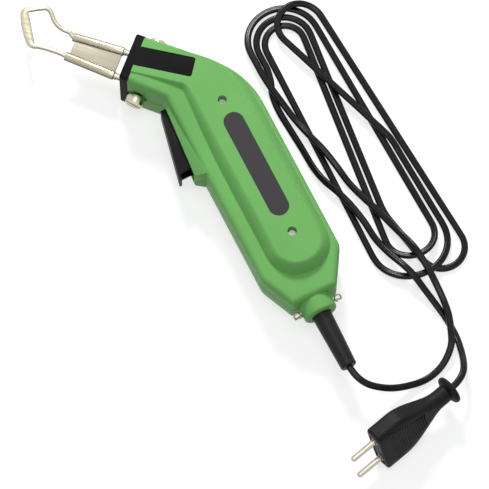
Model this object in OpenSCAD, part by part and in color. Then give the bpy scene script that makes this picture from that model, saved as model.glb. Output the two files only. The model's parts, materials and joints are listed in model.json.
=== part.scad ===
// Electric hot knife: a pistol-shaped casing in two halves, a heated wire blade carried by two
// contact tubes, a trigger switch, a transformer, and a mains cord lying in loose loops.
// X runs along the grip to the nose, Y to the trigger side and Z up. The casing lies on z = 0.

/* [Casing] */
// Thickness over both raised panels
casing_t = 43; // [42:0.5:46]
// Width of the grip
grip_w = 56; // [55.5:0.25:59]
// Where the straight grip ends at the tail
tail_reach = 70.5; // [69:0.5:72]
// Place of the end wall
end_reach = 94; // [93:1:98]
// Wall thickness
wall = 2.5; // [2.3:0.1:2.7]
// Rounding of the outer edges
edge_r = 4; // [3:0.5:4.5]
// Width of the raised panel
panel_w = 30; // [29:0.5:31]
// How far the panel stands off the middle of the grip
panel_off = 3; // [2.5:0.25:3.5]
// Drop from the panel to the shoulder
panel_drop = 8; // [7.5:0.25:8.5]
// Run of the slope beside the panel
slope_run = 6.5; // [6:0.25:7]
// Place of the panel's round end
panel_reach = 72.5; // [71:0.5:74]

/* [Nose] */
// Place of the front plate along the grip
nose_x = 105; // [104:0.5:108]
// Place of the front plate across the grip
nose_y = 38; // [37:0.5:39]
// Angle between nose and grip
nose_angle = 43; // [42:0.5:45]
// Taper of each side of the nose
nose_taper = 2.5; // [2:0.25:3]
// Rise of the nose's shoulder towards the front plate
nose_rise = 7; // [6.5:0.25:7.25]
// Length of the nose's rising shoulder
brow_len = 40; // [38:0.5:42]
// Height of the nose
nose_h = 33; // [32.5:0.25:35]
// Thickness of the front plate
plate_t = 6; // [5:0.25:7]
// Length of the inlaid tabs
tab_len = 37.5; // [30:0.5:38]
// Width of the inlaid tabs
tab_w = 13.6; // [12:0.5:15]

/* [Blade] */
// Distance between the two contact necks
neck_gap = 18; // [17.5:0.25:18.5]
// Diameter of the contact necks
neck_d = 4; // [3.5:0.1:4.2]
// Diameter of the contact tubes
tube_d = 6; // [5.5:0.25:6.5]
// Length of the contact tubes
tube_len = 35; // [32:0.5:37]
// Lean of each tube to the middle
tube_lean = 3; // [2:0.25:4]
// Reach of the blade beyond the tubes
blade_reach = 38; // [34:0.5:42]
// Width over the bent blade
blade_span = 29; // [26:0.5:32]
// Diameter of the blade's wire
wire_d = 3; // [2.6:0.1:3.2]

/* [Trigger] */
// Width of the trigger
trigger_w = 14; // [13:0.25:15]
// Place of the trigger's hinge along the grip
hinge_x = 62; // [61.5:0.25:62.5]
// Place of the trigger's lower end
trigger_low = 14.5; // [13.5:0.5:15.5]
// Height of the pad round the trigger, at its lower end
pad_h = 6.2; // [5.5:0.1:6.5]
// Diameter of the trigger's pin
pin_d = 3; // [2.5:0.1:3.2]

/* [Cord] */
// Diameter of the cord
cord_d = 4.4; // [4:0.1:4.6]
// Diameter of the collar at the tail
collar_d = 22.5; // [21.5:0.25:23.5]
// Length of the collar
collar_len = 10.5; // [9:0.5:12]
// Length of the strain relief outside the collar
relief_len = 39; // [36:0.5:42]
// Width of the plug
plug_w = 35.3; // [34:0.1:36]
// Thickness of the plug
plug_t = 13.7; // [13:0.1:14.5]
// Length of the plug without its pins
plug_len = 63; // [60:0.5:66]
// Distance between the plug's pins
pin_gap = 19; // [18:0.1:20]
// Diameter of the plug's pins
prong_d = 4; // [3.9:0.05:4.1]
// Length of the plug's pins
prong_len = 19; // [18:0.25:20]

/* [Hidden] */
$fn = 48;
// Overrun of every cut
over = 1;
// Least radius of a rounded corner
least_r = 0.3;
// Clearances: a close fit, a sliding fit and a running fit
fit = 0.1;
slide = 0.3;
run = 0.05;
// Steps of an arc in an outline
arc_steps = 5;
zm = casing_t / 2;
shoulder_z = casing_t - panel_drop;
grip_half = grip_w / 2;
front_u = -plate_t;
nose_half = nose_h / 2;
// Radii of the outline's corners: nose edges, inner corner, tail, end wall and back
nose_r = 1;
inner_r = 4;
tail_r = 12;
back_r = 55;
// The end wall stands out beyond the collar by this much
end_rim = 4.35;
end_r = 3;
// The collar and the cord stand off the middle of the grip by this much
collar_y = 2;
// Setback of the panel behind the wall at the nose, and its place there
panel_set = 0.4;
panel_top_v = 14;
panel_low_v = 10.5;
tab_skew = 8;
tab_v = -1.5;
panel_in_r = 9;
panel_back_r = 44;
panel_end_share = 0.46;
inner_edge = 1.5;
// Share of the slope's run that is left at the nose
nose_slope_share = 0.6;

// Outline tools: a corner is [x, y, radius], outlines run counter-clockwise
function unit(v) = v / norm(v);
function left(v) = [-v[1], v[0]];
function spun(v, a) = [v[0] * cos(a) - v[1] * sin(a), v[0] * sin(a) + v[1] * cos(a)];
function turn(a, b) = atan2(a[0] * b[1] - a[1] * b[0], a * b);
function meet(p, a, y) = [p[0] + (y - p[1]) / tan(a), y];
function flat(p) = [p[0], p[1]];
function arc(prev, here, next, inset) =
    let (a = unit(flat(here) - flat(prev)),
         b = unit(flat(next) - flat(here)),
         t = turn(a, b),
         side = t > 0 ? 1 : -1,
         r = max(here[2] - side * inset, least_r),
         lean = (left(a) + left(b)) / (1 + left(a) * left(b)),
         centre = flat(here) + (inset + side * r) * lean)
    [for (k = [0 : arc_steps]) centre - side * r * spun(left(a), t * k / arc_steps)];
function outline(corners, inset) =
    let (n = len(corners))
    [for (i = [0 : n - 1]) each arc(corners[(i + n - 1) % n], corners[i], corners[(i + 1) % n], inset)];
function ring(corners, inset, z) = [for (p = outline(corners, inset)) [p[0], p[1], z]];

// A solid through a stack of rings with the same number of points
module loft(rings) {
    n = len(rings[0]);
    last = len(rings) - 1;
    polyhedron(
        points = [for (r = rings) each r],
        faces = concat(
            [[for (i = [0 : n - 1]) i]],
            [[for (i = [0 : n - 1]) last * n + n - 1 - i]],
            [for (j = [0 : last - 1]) for (i = [0 : n - 1]) each [
                [j * n + i, (j + 1) * n + i, (j + 1) * n + (i + 1) % n],
                [j * n + i, (j + 1) * n + (i + 1) % n, j * n + (i + 1) % n]]]));
}

// Tubes: rings of a width and thickness along points
function heading(pts, i) = unit(pts[min(i + 1, len(pts) - 1)] - pts[max(i - 1, 0)]);
function tube_ring(p, t, w, h, sides) =
    let (e = unit(cross([0, 0, 1], t)), f = cross(t, e))
    [for (k = [0 : sides - 1]) p + w / 2 * cos(360 * k / sides) * e + h / 2 * sin(360 * k / sides) * f];
function tube(pts, d, sides) =
    [for (i = [0 : len(pts) - 1]) tube_ring(pts[i], heading(pts, i), d, d, sides)];

// Places in the nose: u forward from the front plate's face, v across to the trigger side
function nose(u, v) = [nose_x, nose_y] + spun([u, v], nose_angle);
module in_nose() {
    translate([nose_x, nose_y, zm]) rotate(nose_angle) children();
}
module along_nose(u, v, r, len) {
    in_nose() translate([u, v, 0]) rotate([0, 90, 0]) cylinder(r = r, h = len);
}
// A cylinder across the nose from v = from, outward on the given side
module across_nose(side, from, r, len) {
    in_nose() translate([screw_u, side * from, 0]) rotate([-side * 90, 0, 0]) cylinder(r = r, h = len);
}

// Casing outline and panel outline
rear_half = nose_half + plate_t * tan(nose_taper);
top_front = nose(front_u, -rear_half);
low_front = nose(front_u, rear_half);
back_corner = meet(top_front, nose_angle + nose_taper, -grip_half);
inner_corner = meet(low_front, nose_angle - nose_taper, grip_half);
end_half = collar_d / 2 + end_rim;
casing_corners = [
    [top_front[0], top_front[1], nose_r],
    [low_front[0], low_front[1], nose_r],
    [inner_corner[0], inner_corner[1], inner_r],
    [-tail_reach, grip_half, tail_r],
    [-end_reach, collar_y + end_half, end_r],
    [-end_reach, collar_y - end_half, end_r],
    [-tail_reach, -grip_half, tail_r],
    [back_corner[0], back_corner[1], back_r]];
// The nose's shoulder, which rises to the front plate
brow_front = rear_half - edge_r * tan(nose_taper) - fit;
brow_back = rear_half + brow_len * tan(nose_taper) - fit;
brow_corners = [for (p = [
    nose(front_u + edge_r, -brow_front),
    nose(front_u + edge_r, brow_front),
    nose(front_u - brow_len, brow_back),
    nose(front_u - brow_len, -brow_back)]) [p[0], p[1], nose_r]];
function nose_u(p) = spun(flat(p) - [nose_x, nose_y], -nose_angle)[0];
function brow_z(p) = shoulder_z + nose_rise * (1 + (nose_u(p) - front_u) / brow_len);
function brow_ring(inset, drop) = [for (p = outline(brow_corners, inset)) [p[0], p[1], brow_z(p) - drop]];
panel_u = front_u - panel_set;
panel_a = nose(panel_u, -panel_top_v);
panel_b = nose(panel_u, panel_low_v);
panel_hi = panel_w / 2 - panel_off;
panel_lo = -panel_w / 2 - panel_off;
panel_back = meet(panel_a, nose_angle + nose_taper, panel_lo);
panel_in = meet(panel_b, nose_angle + tab_skew, panel_hi);
panel_corners = [
    [panel_a[0], panel_a[1], nose_r],
    [panel_b[0], panel_b[1], nose_r],
    [panel_in[0], panel_in[1], panel_in_r],
    [-panel_reach, panel_hi, panel_w * panel_end_share],
    [-panel_reach, panel_lo, panel_w * panel_end_share],
    [panel_back[0], panel_back[1], panel_back_r]];
// The foot of the panel's slope, where it meets the shoulder
foot_a = nose(panel_u, panel_set - rear_half);
foot_b = nose(panel_u, panel_low_v + slope_run * nose_slope_share);
foot_back = meet(foot_a, nose_angle + nose_taper, panel_lo - slope_run);
foot_in = meet(foot_b, nose_angle + tab_skew, panel_hi + slope_run);
foot_corners = [
    [foot_a[0], foot_a[1], nose_r],
    [foot_b[0], foot_b[1], nose_r],
    [foot_in[0], foot_in[1], panel_in_r - slope_run],
    [-panel_reach - slope_run, panel_hi + slope_run, panel_w * panel_end_share + slope_run],
    [-panel_reach - slope_run, panel_lo - slope_run, panel_w * panel_end_share + slope_run],
    [foot_back[0], foot_back[1], panel_back_r + slope_run]];

// Trigger and hinge
hinge_rise = 0.8;
hinge_y = grip_half + hinge_rise;
pad_end_h = 2.1;
pad_low_set = 3;
pad_top_set = 0.3;
slot_w = trigger_w + 2 * slide;
pad_w = 26;
slot_low_set = 1.4;
slot_high_set = 5;
slot_low = trigger_low + slot_low_set;
slot_high = hinge_x + slot_high_set;
face_low_rise = 16.5;
face_high_rise = 6;
face_low_y = grip_half + face_low_rise;
face_high_y = grip_half + face_high_rise;
plate_share = 0.053;
cheek_t = 2;
hinge_r = 3.4;

// Screws
screw_u = -12.5;
clamp_d = 4;
clamp_head_d = 12;
clamp_head_t = 5.5;
clamp_stand = 1.2;
clamp_hole = 6.4;
clamp_recess_d = 14;
clamp_recess = 1.5;
slot_t = 1.6;
slot_deep = 2;
screw_places = [[49.5, -panel_off], [-51.5, -panel_off]];
casing_screw_d = 3;
casing_head_d = 5.4;
casing_head_t = 2.6;
head_deep = 8;
boss_d = 9;
head_hole_d = 6;
screw_foot = 7;
screw_short = 1;

// Label
label_len = 78;
label_w = 13.4;
label_t = 0.5;

// Transformer
core_stack = casing_t - 2 * (panel_drop + wall);
core_len = 40;
core_w = 48;
core_x = -5;
leg_w = 16;
yoke = 8;
bobbin_t = 1;
flange_t = 1.2;
coil_y = 15.4;
coil_z = 15;
coil_bevel = 6;

// Terminals and bars
block_w = 8;
block_t = 10;
block_len = 26;
neck_in = 21;
bar_w = 5;
bar_t = 8;
strap_t = 3;
strap_gap = 0.4;
spigot_len = 12;
spigot_t = 21;
spigot_w = 26;
upper_bar_y = -10;
lower_bar_y = 6;
plate_rim = 0.5;
plate_r = 1.5;

// Switch
switch_x = 38;
switch_len = 24;
switch_y = 10;
switch_h = 12.6;
switch_t = 12;
plunger_w = 4;
plunger_t = 6;
plunger_drop = 2.5;
plunger_top = hinge_y - plunger_drop;
plunger_in = 3;
pocket_in = 7;
post_gap = 16;
post_d = 6;
post_pin_d = 2.6;
push_gap = 0.6;
push_w = 4;

// Cord entry
collar_end = end_reach + collar_len;
relief_root_d = 13;
relief_tip_d = 10.8;
flange_d = 17;
relief_flange_t = 3;
tip_round = 1;
stub_set = 24;
stub_end = end_reach - stub_set;
clamp_set = 14;
clamp_x = end_reach - clamp_set;
clamp_len = 8;
clamp_w = 26;
clamp_t = 3.5;
clamp_y = 9;
clamp_post_d = 7;
clamp_screw_d = 2.6;
clamp_screw_head = 5;
clamp_screw_t = 2;
clamp_foot = 13.5;
saddle_w = 6;
clip_d = 1.2;
clip_ear_r = 2.2;
clip_set = 4.5;
clip_x = end_reach + clip_set;
wire_lead_d = 1.8;

// Cord on the table: height of its middle, rise of one crossing level, sides of its tubes
floor_z = cord_d / 2;
level_gap = 0.6;
level = cord_d + level_gap;
cord_sides = 8;
hank_sides = 6;

// Plug place, heading and roll on its narrow edge
plug_at = [-184.3, -50.5];
plug_heading = 104.4;
plug_roll = 20;
plug_edge = 3;
neck_w = 12;
neck_len = 14;
flare_len = 32;
plug_flange_w = 20;
plug_flange_t = 4;
plug_z = (plug_w / 2 - plug_edge) * cos(plug_roll) + (plug_t / 2 - plug_edge) * sin(plug_roll) + plug_edge;

// Outer half of the casing, above the middle plane
module outer_half() {
    union() {
        loft(concat(
            [ring(casing_corners, 0, zm)],
            [for (a = [0 : 30 : 90])
                ring(casing_corners, edge_r * (1 - cos(a)), shoulder_z - edge_r * (1 - sin(a)))]));
        loft([ring(foot_corners, 0, zm + over),
              ring(foot_corners, 0, shoulder_z),
              ring(panel_corners, 0, casing_t)]);
        pad_half();
        intersection() {
            loft(concat(
                [ring(brow_corners, 0, zm)],
                [for (a = [0 : 30 : 90]) brow_ring(edge_r * (1 - cos(a)), edge_r * (1 - sin(a)))]));
            in_nose() translate([front_u - fit - 2 * brow_len, -brow_len, 0])
                cube([2 * brow_len, 2 * brow_len, casing_t]);
        }
        intersection() {
            translate([-collar_end, collar_y, zm]) rotate([0, 90, 0])
                cylinder(d = collar_d, h = collar_len + wall);
            translate([-collar_end - over, -grip_half, zm]) cube([collar_len + wall + over, grip_w, zm]);
        }
    }
}
module pad_half() {
    high = meet(inner_corner, nose_angle - nose_taper, grip_half + pad_end_h);
    translate([0, 0, zm]) linear_extrude(pad_w / 2) polygon([
        [trigger_low - pad_low_set, grip_half - wall / 2],
        [trigger_low - pad_low_set, grip_half],
        [trigger_low - pad_top_set, grip_half + pad_h],
        high,
        [inner_corner[0] + wall / 2, grip_half - wall / 2]]);
}
module cavity_half() {
    loft([ring(casing_corners, wall, zm - over),
          ring(casing_corners, wall, shoulder_z - wall - inner_edge),
          ring(casing_corners, wall + inner_edge, shoulder_z - wall)]);
    loft([ring(foot_corners, wall, zm),
          ring(foot_corners, wall, shoulder_z - wall),
          ring(panel_corners, wall, casing_t - wall)]);
}
module screw_boss() {
    for (p = screw_places) translate([p[0], p[1], zm]) cylinder(d = boss_d, h = zm);
}
module switch_posts() {
    for (s = [-1, 1]) translate([switch_x + s * post_gap / 2, switch_y + switch_h / 2, zm]) {
        cylinder(d = post_pin_d, h = zm);
        translate([0, 0, switch_t / 2]) cylinder(d = post_d, h = zm);
    }
}
module half_cuts() {
    // trigger slot
    translate([slot_low, grip_half - wall - over, zm - over])
        cube([slot_high - slot_low, wall + pad_h + 2 * over, slot_w / 2 + over]);
    // trigger pin
    translate([hinge_x, hinge_y, zm - over]) cylinder(d = pin_d, h = pad_w / 2 - wall + over);
    // cord collar
    translate([-collar_end - over, collar_y, zm]) rotate([0, 90, 0])
        cylinder(d = relief_root_d + 2 * fit, h = collar_len + wall + 2 * over);
    // nose opening
    in_nose() translate([front_u - wall - over, -spigot_w / 2 - fit, -over])
        cube([wall + 2 * over, spigot_w + 2 * fit, spigot_t / 2 + fit + over]);
    // tab
    translate([nose(front_u, tab_v)[0], nose(front_u, tab_v)[1], casing_t - wall - over])
        rotate(nose_angle + tab_skew) translate([-tab_len - fit, -tab_w / 2 - fit, 0])
        cube([tab_len + plate_t, tab_w + 2 * fit, wall + 2 * over]);
    // clamp screws
    for (s = [-1, 1]) {
        across_nose(s, 0, clamp_hole / 2, nose_h);
        across_nose(s, nose_half - screw_u * tan(nose_taper) - clamp_recess, clamp_recess_d / 2, nose_h);
    }
}

module upper_casing() {
    color("limegreen") difference() {
        outer_half();
        difference() {
            cavity_half();
            screw_boss();
            switch_posts();
        }
        half_cuts();
        for (p = screw_places) translate([p[0], p[1], zm - over]) {
            cylinder(d = casing_screw_d + 2 * fit, h = zm + 2 * over);
            translate([0, 0, zm + over - head_deep]) cylinder(d = head_hole_d, h = head_deep + over);
        }
        translate([0, -panel_off, casing_t - label_t]) linear_extrude(label_t + over) stadium(fit);
    }
}
module lower_casing() {
    color("limegreen") translate([0, 0, casing_t]) mirror([0, 0, 1]) difference() {
        outer_half();
        difference() {
            cavity_half();
            screw_boss();
            switch_posts();
            for (s = [-1, 1]) translate([-clamp_x, collar_y + s * clamp_y, zm])
                cylinder(d = clamp_post_d, h = zm);
            translate([-clamp_x - saddle_w / 2, collar_y - saddle_w / 2, zm + cord_d / 2])
                cube([saddle_w, saddle_w, zm]);
        }
        half_cuts();
        for (p = screw_places) translate([p[0], p[1], zm - over])
            cylinder(d = casing_screw_d + 2 * fit, h = zm - screw_foot + 2 * over);
        for (s = [-1, 1]) translate([-clamp_x, collar_y + s * clamp_y, zm - over])
            cylinder(d = clamp_screw_d + 2 * fit, h = zm - clamp_foot + 2 * over);
    }
}
module stadium(grow) {
    straight = label_len - label_w;
    for (s = [-1, 1]) translate([s * straight / 2, 0]) circle(d = label_w + 2 * grow);
    square([straight, label_w + 2 * grow], center = true);
}
module label_plate() {
    color("dimgray") translate([0, -panel_off, casing_t - label_t]) linear_extrude(label_t) stadium(0);
}
module nose_insert() {
    color("black") difference() {
        union() {
            in_nose() translate([front_u, 0, 0]) rotate([90, 0, 90]) linear_extrude(plate_t) face_outline();
            in_nose() translate([front_u - spigot_len, -spigot_w / 2, -spigot_t / 2])
                cube([spigot_len + plate_t / 2, spigot_w, spigot_t]);
            for (z = [plate_rim, casing_t - wall])
                translate([nose(front_u, tab_v)[0], nose(front_u, tab_v)[1], z])
                    rotate(nose_angle + tab_skew)
                translate([-tab_len, -tab_w / 2, 0]) cube([tab_len + plate_t / 2, tab_w, wall - plate_rim]);
        }
        for (s = [-1, 1]) {
            along_nose(front_u - over, s * neck_gap / 2, neck_d / 2 + 2 * fit, plate_t + 2 * over);
            in_nose() translate([front_u - spigot_len - over, -block_w / 2 - fit + s * neck_gap / 2, 0])
                translate([0, 0, -block_t / 2 - fit])
                cube([spigot_len + over, block_w + 2 * fit, block_t + 2 * fit]);
            across_nose(s, neck_gap / 2, clamp_hole / 2, nose_h);
        }
    }
}
module face_outline() {
    wide = nose_h - 2 * plate_r;
    tall = casing_t - 2 * plate_rim - 2 * plate_r;
    square([wide, tall + 2 * plate_r], center = true);
    square([wide + 2 * plate_r, tall], center = true);
    for (s = [-1, 1]) for (t = [-1, 1]) translate([s * wide / 2, t * tall / 2]) circle(r = plate_r);
}
module casing_screws() {
    top = casing_t - head_deep;
    color("silver") for (p = screw_places) translate([p[0], p[1], 0]) {
        translate([0, 0, screw_foot + screw_short])
            cylinder(d = casing_screw_d, h = top - screw_foot - screw_short);
        difference() {
            translate([0, 0, top]) cylinder(d = casing_head_d, h = casing_head_t);
            translate([0, 0, top + casing_head_t])
                cube([casing_head_d + over, casing_screw_d / 4, casing_head_t], center = true);
        }
    }
}
module rear_clip() {
    ring_r = collar_d / 2 + fit + clip_d / 2;
    color("silver") translate([-clip_x, collar_y, zm]) rotate([0, 90, 0]) {
        rotate(-90) rotate_extrude(angle = 180) translate([ring_r, 0]) circle(d = clip_d);
        for (s = [-1, 1]) translate([0, s * (ring_r + clip_ear_r), 0])
            rotate_extrude() translate([clip_ear_r, 0]) circle(d = clip_d);
    }
}

// Trigger: a channel with its hinge at the upper end and a lip at the lower one
face_run = hinge_x + hinge_r - trigger_low;
function face_y(x) = face_low_y + (face_high_y - face_low_y) * (x - trigger_low) / face_run;
module trigger_side(depth) {
    end_x = trigger_low + face_run * plate_share;
    polygon([
        [trigger_low, face_y(trigger_low)],
        [trigger_low, face_y(trigger_low) - depth],
        [end_x, face_y(end_x) - depth],
        [end_x + cheek_t, grip_half - wall / 2],
        [hinge_x, hinge_y - hinge_r],
        [hinge_x + hinge_r, hinge_y],
        [hinge_x + hinge_r, face_high_y]]);
}
module trigger() {
    color("black") difference() {
        translate([0, 0, zm - trigger_w / 2]) linear_extrude(trigger_w) trigger_side(cheek_t);
        difference() {
            translate([0, -cheek_t, zm - trigger_w / 2 + cheek_t]) linear_extrude(trigger_w - 2 * cheek_t)
                polygon([
                    [trigger_low, face_y(trigger_low)],
                    [trigger_low, grip_half - pad_h],
                    [hinge_x - hinge_r, grip_half - pad_h],
                    [hinge_x - hinge_r, face_y(hinge_x - hinge_r)]]);
            translate([switch_x - push_w / 2, plunger_top + push_gap, zm - trigger_w / 2])
                cube([push_w, grip_half, trigger_w]);
        }
        translate([hinge_x, hinge_y, 0]) cylinder(d = pin_d + 2 * run, h = casing_t);
    }
}
module trigger_pin() {
    half = pad_w / 2 - wall - fit;
    color("silver") translate([hinge_x, hinge_y, zm - half]) cylinder(d = pin_d, h = 2 * half);
}
module switch_body() {
    color("saddlebrown") difference() {
        translate([switch_x - switch_len / 2, switch_y, zm - switch_t / 2])
            cube([switch_len, switch_h, switch_t]);
        translate([switch_x - plunger_w / 2 - slide, switch_y + switch_h - pocket_in,
            zm - plunger_t / 2 - slide])
            cube([plunger_w + 2 * slide, pocket_in + over, plunger_t + 2 * slide]);
        for (s = [-1, 1]) translate([switch_x + s * post_gap / 2, switch_y + switch_h / 2, 0])
            cylinder(d = post_pin_d + 2 * fit, h = casing_t);
    }
}
module switch_plunger() {
    foot = switch_y + switch_h - plunger_in;
    color("red") translate([switch_x - plunger_w / 2, foot, zm - plunger_t / 2])
        cube([plunger_w, plunger_top - foot, plunger_t]);
}

// Transformer: an E and an I stack, legs along the grip
core_back = core_x - core_len / 2;
core_front = core_x + core_len / 2;
window_len = core_len - 2 * yoke;
module core_e_stack() {
    color("slategray") translate([core_back, -core_w / 2, zm - core_stack / 2]) difference() {
        cube([core_len - yoke, core_w, core_stack]);
        for (y = [yoke, core_w / 2 + leg_w / 2])
            translate([yoke, y, -over])
            cube([core_len, core_w / 2 - yoke - leg_w / 2, core_stack + 2 * over]);
    }
}
module core_i_stack() {
    color("slategray") translate([core_front - yoke, -core_w / 2, zm - core_stack / 2])
        cube([yoke, core_w, core_stack]);
}
module bevelled(y, z, cut, len) {
    rotate([90, 0, 90]) linear_extrude(len) polygon([
        [y, z - cut], [y - cut, z], [cut - y, z], [-y, z - cut],
        [-y, cut - z], [cut - y, -z], [y - cut, -z], [y, cut - z]]);
}
module bobbin_core(grow, len) {
    translate([0, -leg_w / 2 - grow, -core_stack / 2 - grow])
        cube([len, leg_w + 2 * grow, core_stack + 2 * grow]);
}
module coil_bobbin() {
    color("ivory") translate([core_back + yoke + fit, 0, zm]) difference() {
        union() {
            bobbin_core(bobbin_t + fit, window_len - 2 * fit);
            for (x = [0, window_len - 2 * fit - flange_t])
                translate([x, 0, 0]) bevelled(coil_y, coil_z, coil_bevel, flange_t);
        }
        translate([-over, 0, 0]) bobbin_core(fit, window_len + 2 * over);
    }
}
module primary_coil() {
    long = window_len - 2 * fit - 2 * flange_t;
    color("chocolate") translate([core_back + yoke + fit + flange_t, 0, zm]) difference() {
        bevelled(coil_y - fit, coil_z - fit, coil_bevel, long);
        translate([-over, 0, 0]) bobbin_core(bobbin_t + fit, long + 2 * over);
    }
}

// Bars from the coil's front flange over the yoke and on to the terminals
bar_rise = core_front + strap_gap;
module bar_plan(y, end) {
    bend = meet(end, nose_angle, y);
    translate([bar_rise, y - bar_w / 2]) square([bend[0] - bar_rise, bar_w]);
    translate(bend) circle(d = bar_w);
    translate(end) rotate(nose_angle) translate([-norm(end - bend), -bar_w / 2])
        square([norm(end - bend), bar_w]);
}
module bus_bar(y, end) {
    strap_z = zm + core_stack / 2 + strap_gap;
    color("orange") {
        translate([0, 0, zm - bar_t / 2]) linear_extrude(bar_t) bar_plan(y, end);
        translate([bar_rise, y - bar_w / 2, zm - bar_t / 2])
            cube([strap_t, bar_w, strap_z + strap_t - zm + bar_t / 2]);
        translate([core_front - yoke - fit, y - bar_w / 2, strap_z])
            cube([bar_rise - core_front + yoke + fit + strap_t, bar_w, strap_t]);
    }
}
block_back = front_u - fit - block_len;
module upper_bus_bar() { bus_bar(upper_bar_y, nose(block_back, -neck_gap / 2)); }
module lower_bus_bar() { bus_bar(lower_bar_y, nose(block_back, neck_gap / 2)); }
module terminal(side) {
    color("gold") difference() {
        in_nose() translate([block_back, side * neck_gap / 2 - block_w / 2, -block_t / 2])
            cube([block_len, block_w, block_t]);
        along_nose(block_back + 2 * over, side * neck_gap / 2, neck_d / 2 + run, block_len + over);
        across_nose(side, neck_gap / 2, clamp_d / 2 + run, block_w);
    }
}
module upper_terminal() { terminal(-1); }
module lower_terminal() { terminal(1); }
module clamp_screw(side) {
    head_v = nose_half - screw_u * tan(nose_taper) + clamp_stand;
    tip_v = neck_gap / 2 + neck_d / 2 + 2 * run;
    color("silver") difference() {
        union() {
            across_nose(side, tip_v, clamp_d / 2, head_v - tip_v + over);
            across_nose(side, head_v, clamp_head_d / 2, clamp_head_t);
        }
        in_nose() translate([screw_u, side * (head_v + clamp_head_t), 0])
            cube([slot_t, 2 * slot_deep, clamp_head_d + over], center = true);
    }
}
module upper_clamp_screw() { clamp_screw(-1); }
module lower_clamp_screw() { clamp_screw(1); }

// Blade cartridge
tube_u = 6.5;
wire_in = 7;
module leaning_tube(side, from, r, len) {
    in_nose() translate([tube_u, side * neck_gap / 2, 0]) rotate(-side * tube_lean)
        translate([from, 0, 0]) rotate([0, 90, 0]) cylinder(r = r, h = len);
}
module contact_tube(side) {
    color("silver") difference() {
        union() {
            leaning_tube(side, 0, tube_d / 2, tube_len);
            along_nose(front_u - neck_in, side * neck_gap / 2, neck_d / 2,
                tube_u - front_u + neck_in + over);
        }
        leaning_tube(side, tube_len - wire_in - over, wire_d / 2 + fit, wire_in + 2 * over);
    }
}
module upper_contact_tube() { contact_tube(-1); }
module lower_contact_tube() { contact_tube(1); }
web_t = 1.6;
web_end = 2;
module spacer_plate() {
    far = neck_gap / 2 - tube_len * sin(tube_lean);
    color("tan") difference() {
        in_nose() translate([tube_u + web_end, 0, -web_t / 2]) linear_extrude(web_t) polygon([
            [0, -neck_gap / 2], [tube_len - 2 * web_end, -far], [tube_len - 2 * web_end, far],
            [0, neck_gap / 2]]);
        for (s = [-1, 1]) leaning_tube(s, -over, tube_d / 2 + run, tube_len + 2 * over);
    }
}
// Blade: shares of its reach and half span, then of its wire's width and thickness
blade_shares = [
    [0.09, -0.64, 1, 1], [0.22, -0.67, 1, 1], [0.34, -0.78, 1, 1], [0.43, -0.96, 1, 1], [0.51, -1.2, 1, 1],
    [0.57, -1.33, 1, 1], [0.64, -1.37, 1, 1], [0.76, -1.22, 1, 1], [0.87, -1.07, 1.1, 0.9],
    [0.94, -0.97, 1.3, 0.8], [0.955, -0.83, 1.7, 0.6], [0.905, -0.56, 2, 0.5], [0.82, -0.18, 2.1, 0.45],
    [0.735, 0.16, 2, 0.5], [0.65, 0.46, 1.7, 0.6], [0.59, 0.55, 1.2, 0.8], [0.5, 0.5, 1, 1],
    [0.36, 0.46, 1, 1], [0.2, 0.45, 1, 1], [0.09, 0.46, 1, 1]];
wire_sides = 8;
module blade_wire() {
    front = tube_u + tube_len * cos(tube_lean);
    far = neck_gap / 2 - tube_len * sin(tube_lean);
    ends = [for (s = [-1, 1]) [front - wire_in * cos(tube_lean), s * (far + wire_in * sin(tube_lean)), 0]];
    bent = [for (b = blade_shares) [front + b[0] * blade_reach, b[1] * blade_span / 2, 0]];
    tips = [for (s = [-1, 1]) [front, s * far, 0]];
    pts = concat([ends[0], tips[0]], bent, [tips[1], ends[1]]);
    size = concat([[1, 1], [1, 1]], [for (b = blade_shares) [b[2], b[3]]], [[1, 1], [1, 1]]);
    color("silver") in_nose() loft([for (i = [0 : len(pts) - 1])
        tube_ring(pts[i], heading(pts, i), wire_d * size[i][0], wire_d * size[i][1], wire_sides)]);
}

// Cord entry
module strain_relief() {
    inner = end_reach - wall;
    color("black") translate([-collar_end - relief_len, collar_y, zm]) rotate([0, 90, 0])
        rotate_extrude() polygon([
        [0, 0],
        [relief_tip_d / 2 - tip_round, 0],
        [relief_tip_d / 2, tip_round],
        [relief_root_d / 2, relief_len],
        [relief_root_d / 2, relief_len + collar_end - inner + fit],
        [flange_d / 2, relief_len + collar_end - inner + fit],
        [flange_d / 2, relief_len + collar_end - inner + fit + relief_flange_t],
        [0, relief_len + collar_end - inner + fit + relief_flange_t]]);
}
stub_start = end_reach - wall - fit - relief_flange_t;
module cord_stub() {
    color("black") translate([-stub_start, collar_y, zm]) rotate([0, 90, 0])
        cylinder(d = cord_d, h = stub_start - stub_end);
}
module cord_clamp_bar() {
    color("dimgray") difference() {
        translate([-clamp_x - clamp_len / 2, collar_y - clamp_w / 2, zm + cord_d / 2])
            cube([clamp_len, clamp_w, clamp_t]);
        for (s = [-1, 1]) translate([-clamp_x, collar_y + s * clamp_y, zm])
            cylinder(d = clamp_screw_d + 2 * fit, h = zm);
    }
}
module cord_clamp_screws() {
    top = zm + cord_d / 2 + clamp_t;
    color("silver") for (s = [-1, 1]) translate([-clamp_x, collar_y + s * clamp_y, 0]) {
        translate([0, 0, clamp_foot]) cylinder(d = clamp_screw_d, h = top - clamp_foot);
        translate([0, 0, top]) cylinder(d = clamp_screw_head, h = clamp_screw_t);
    }
}
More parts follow.
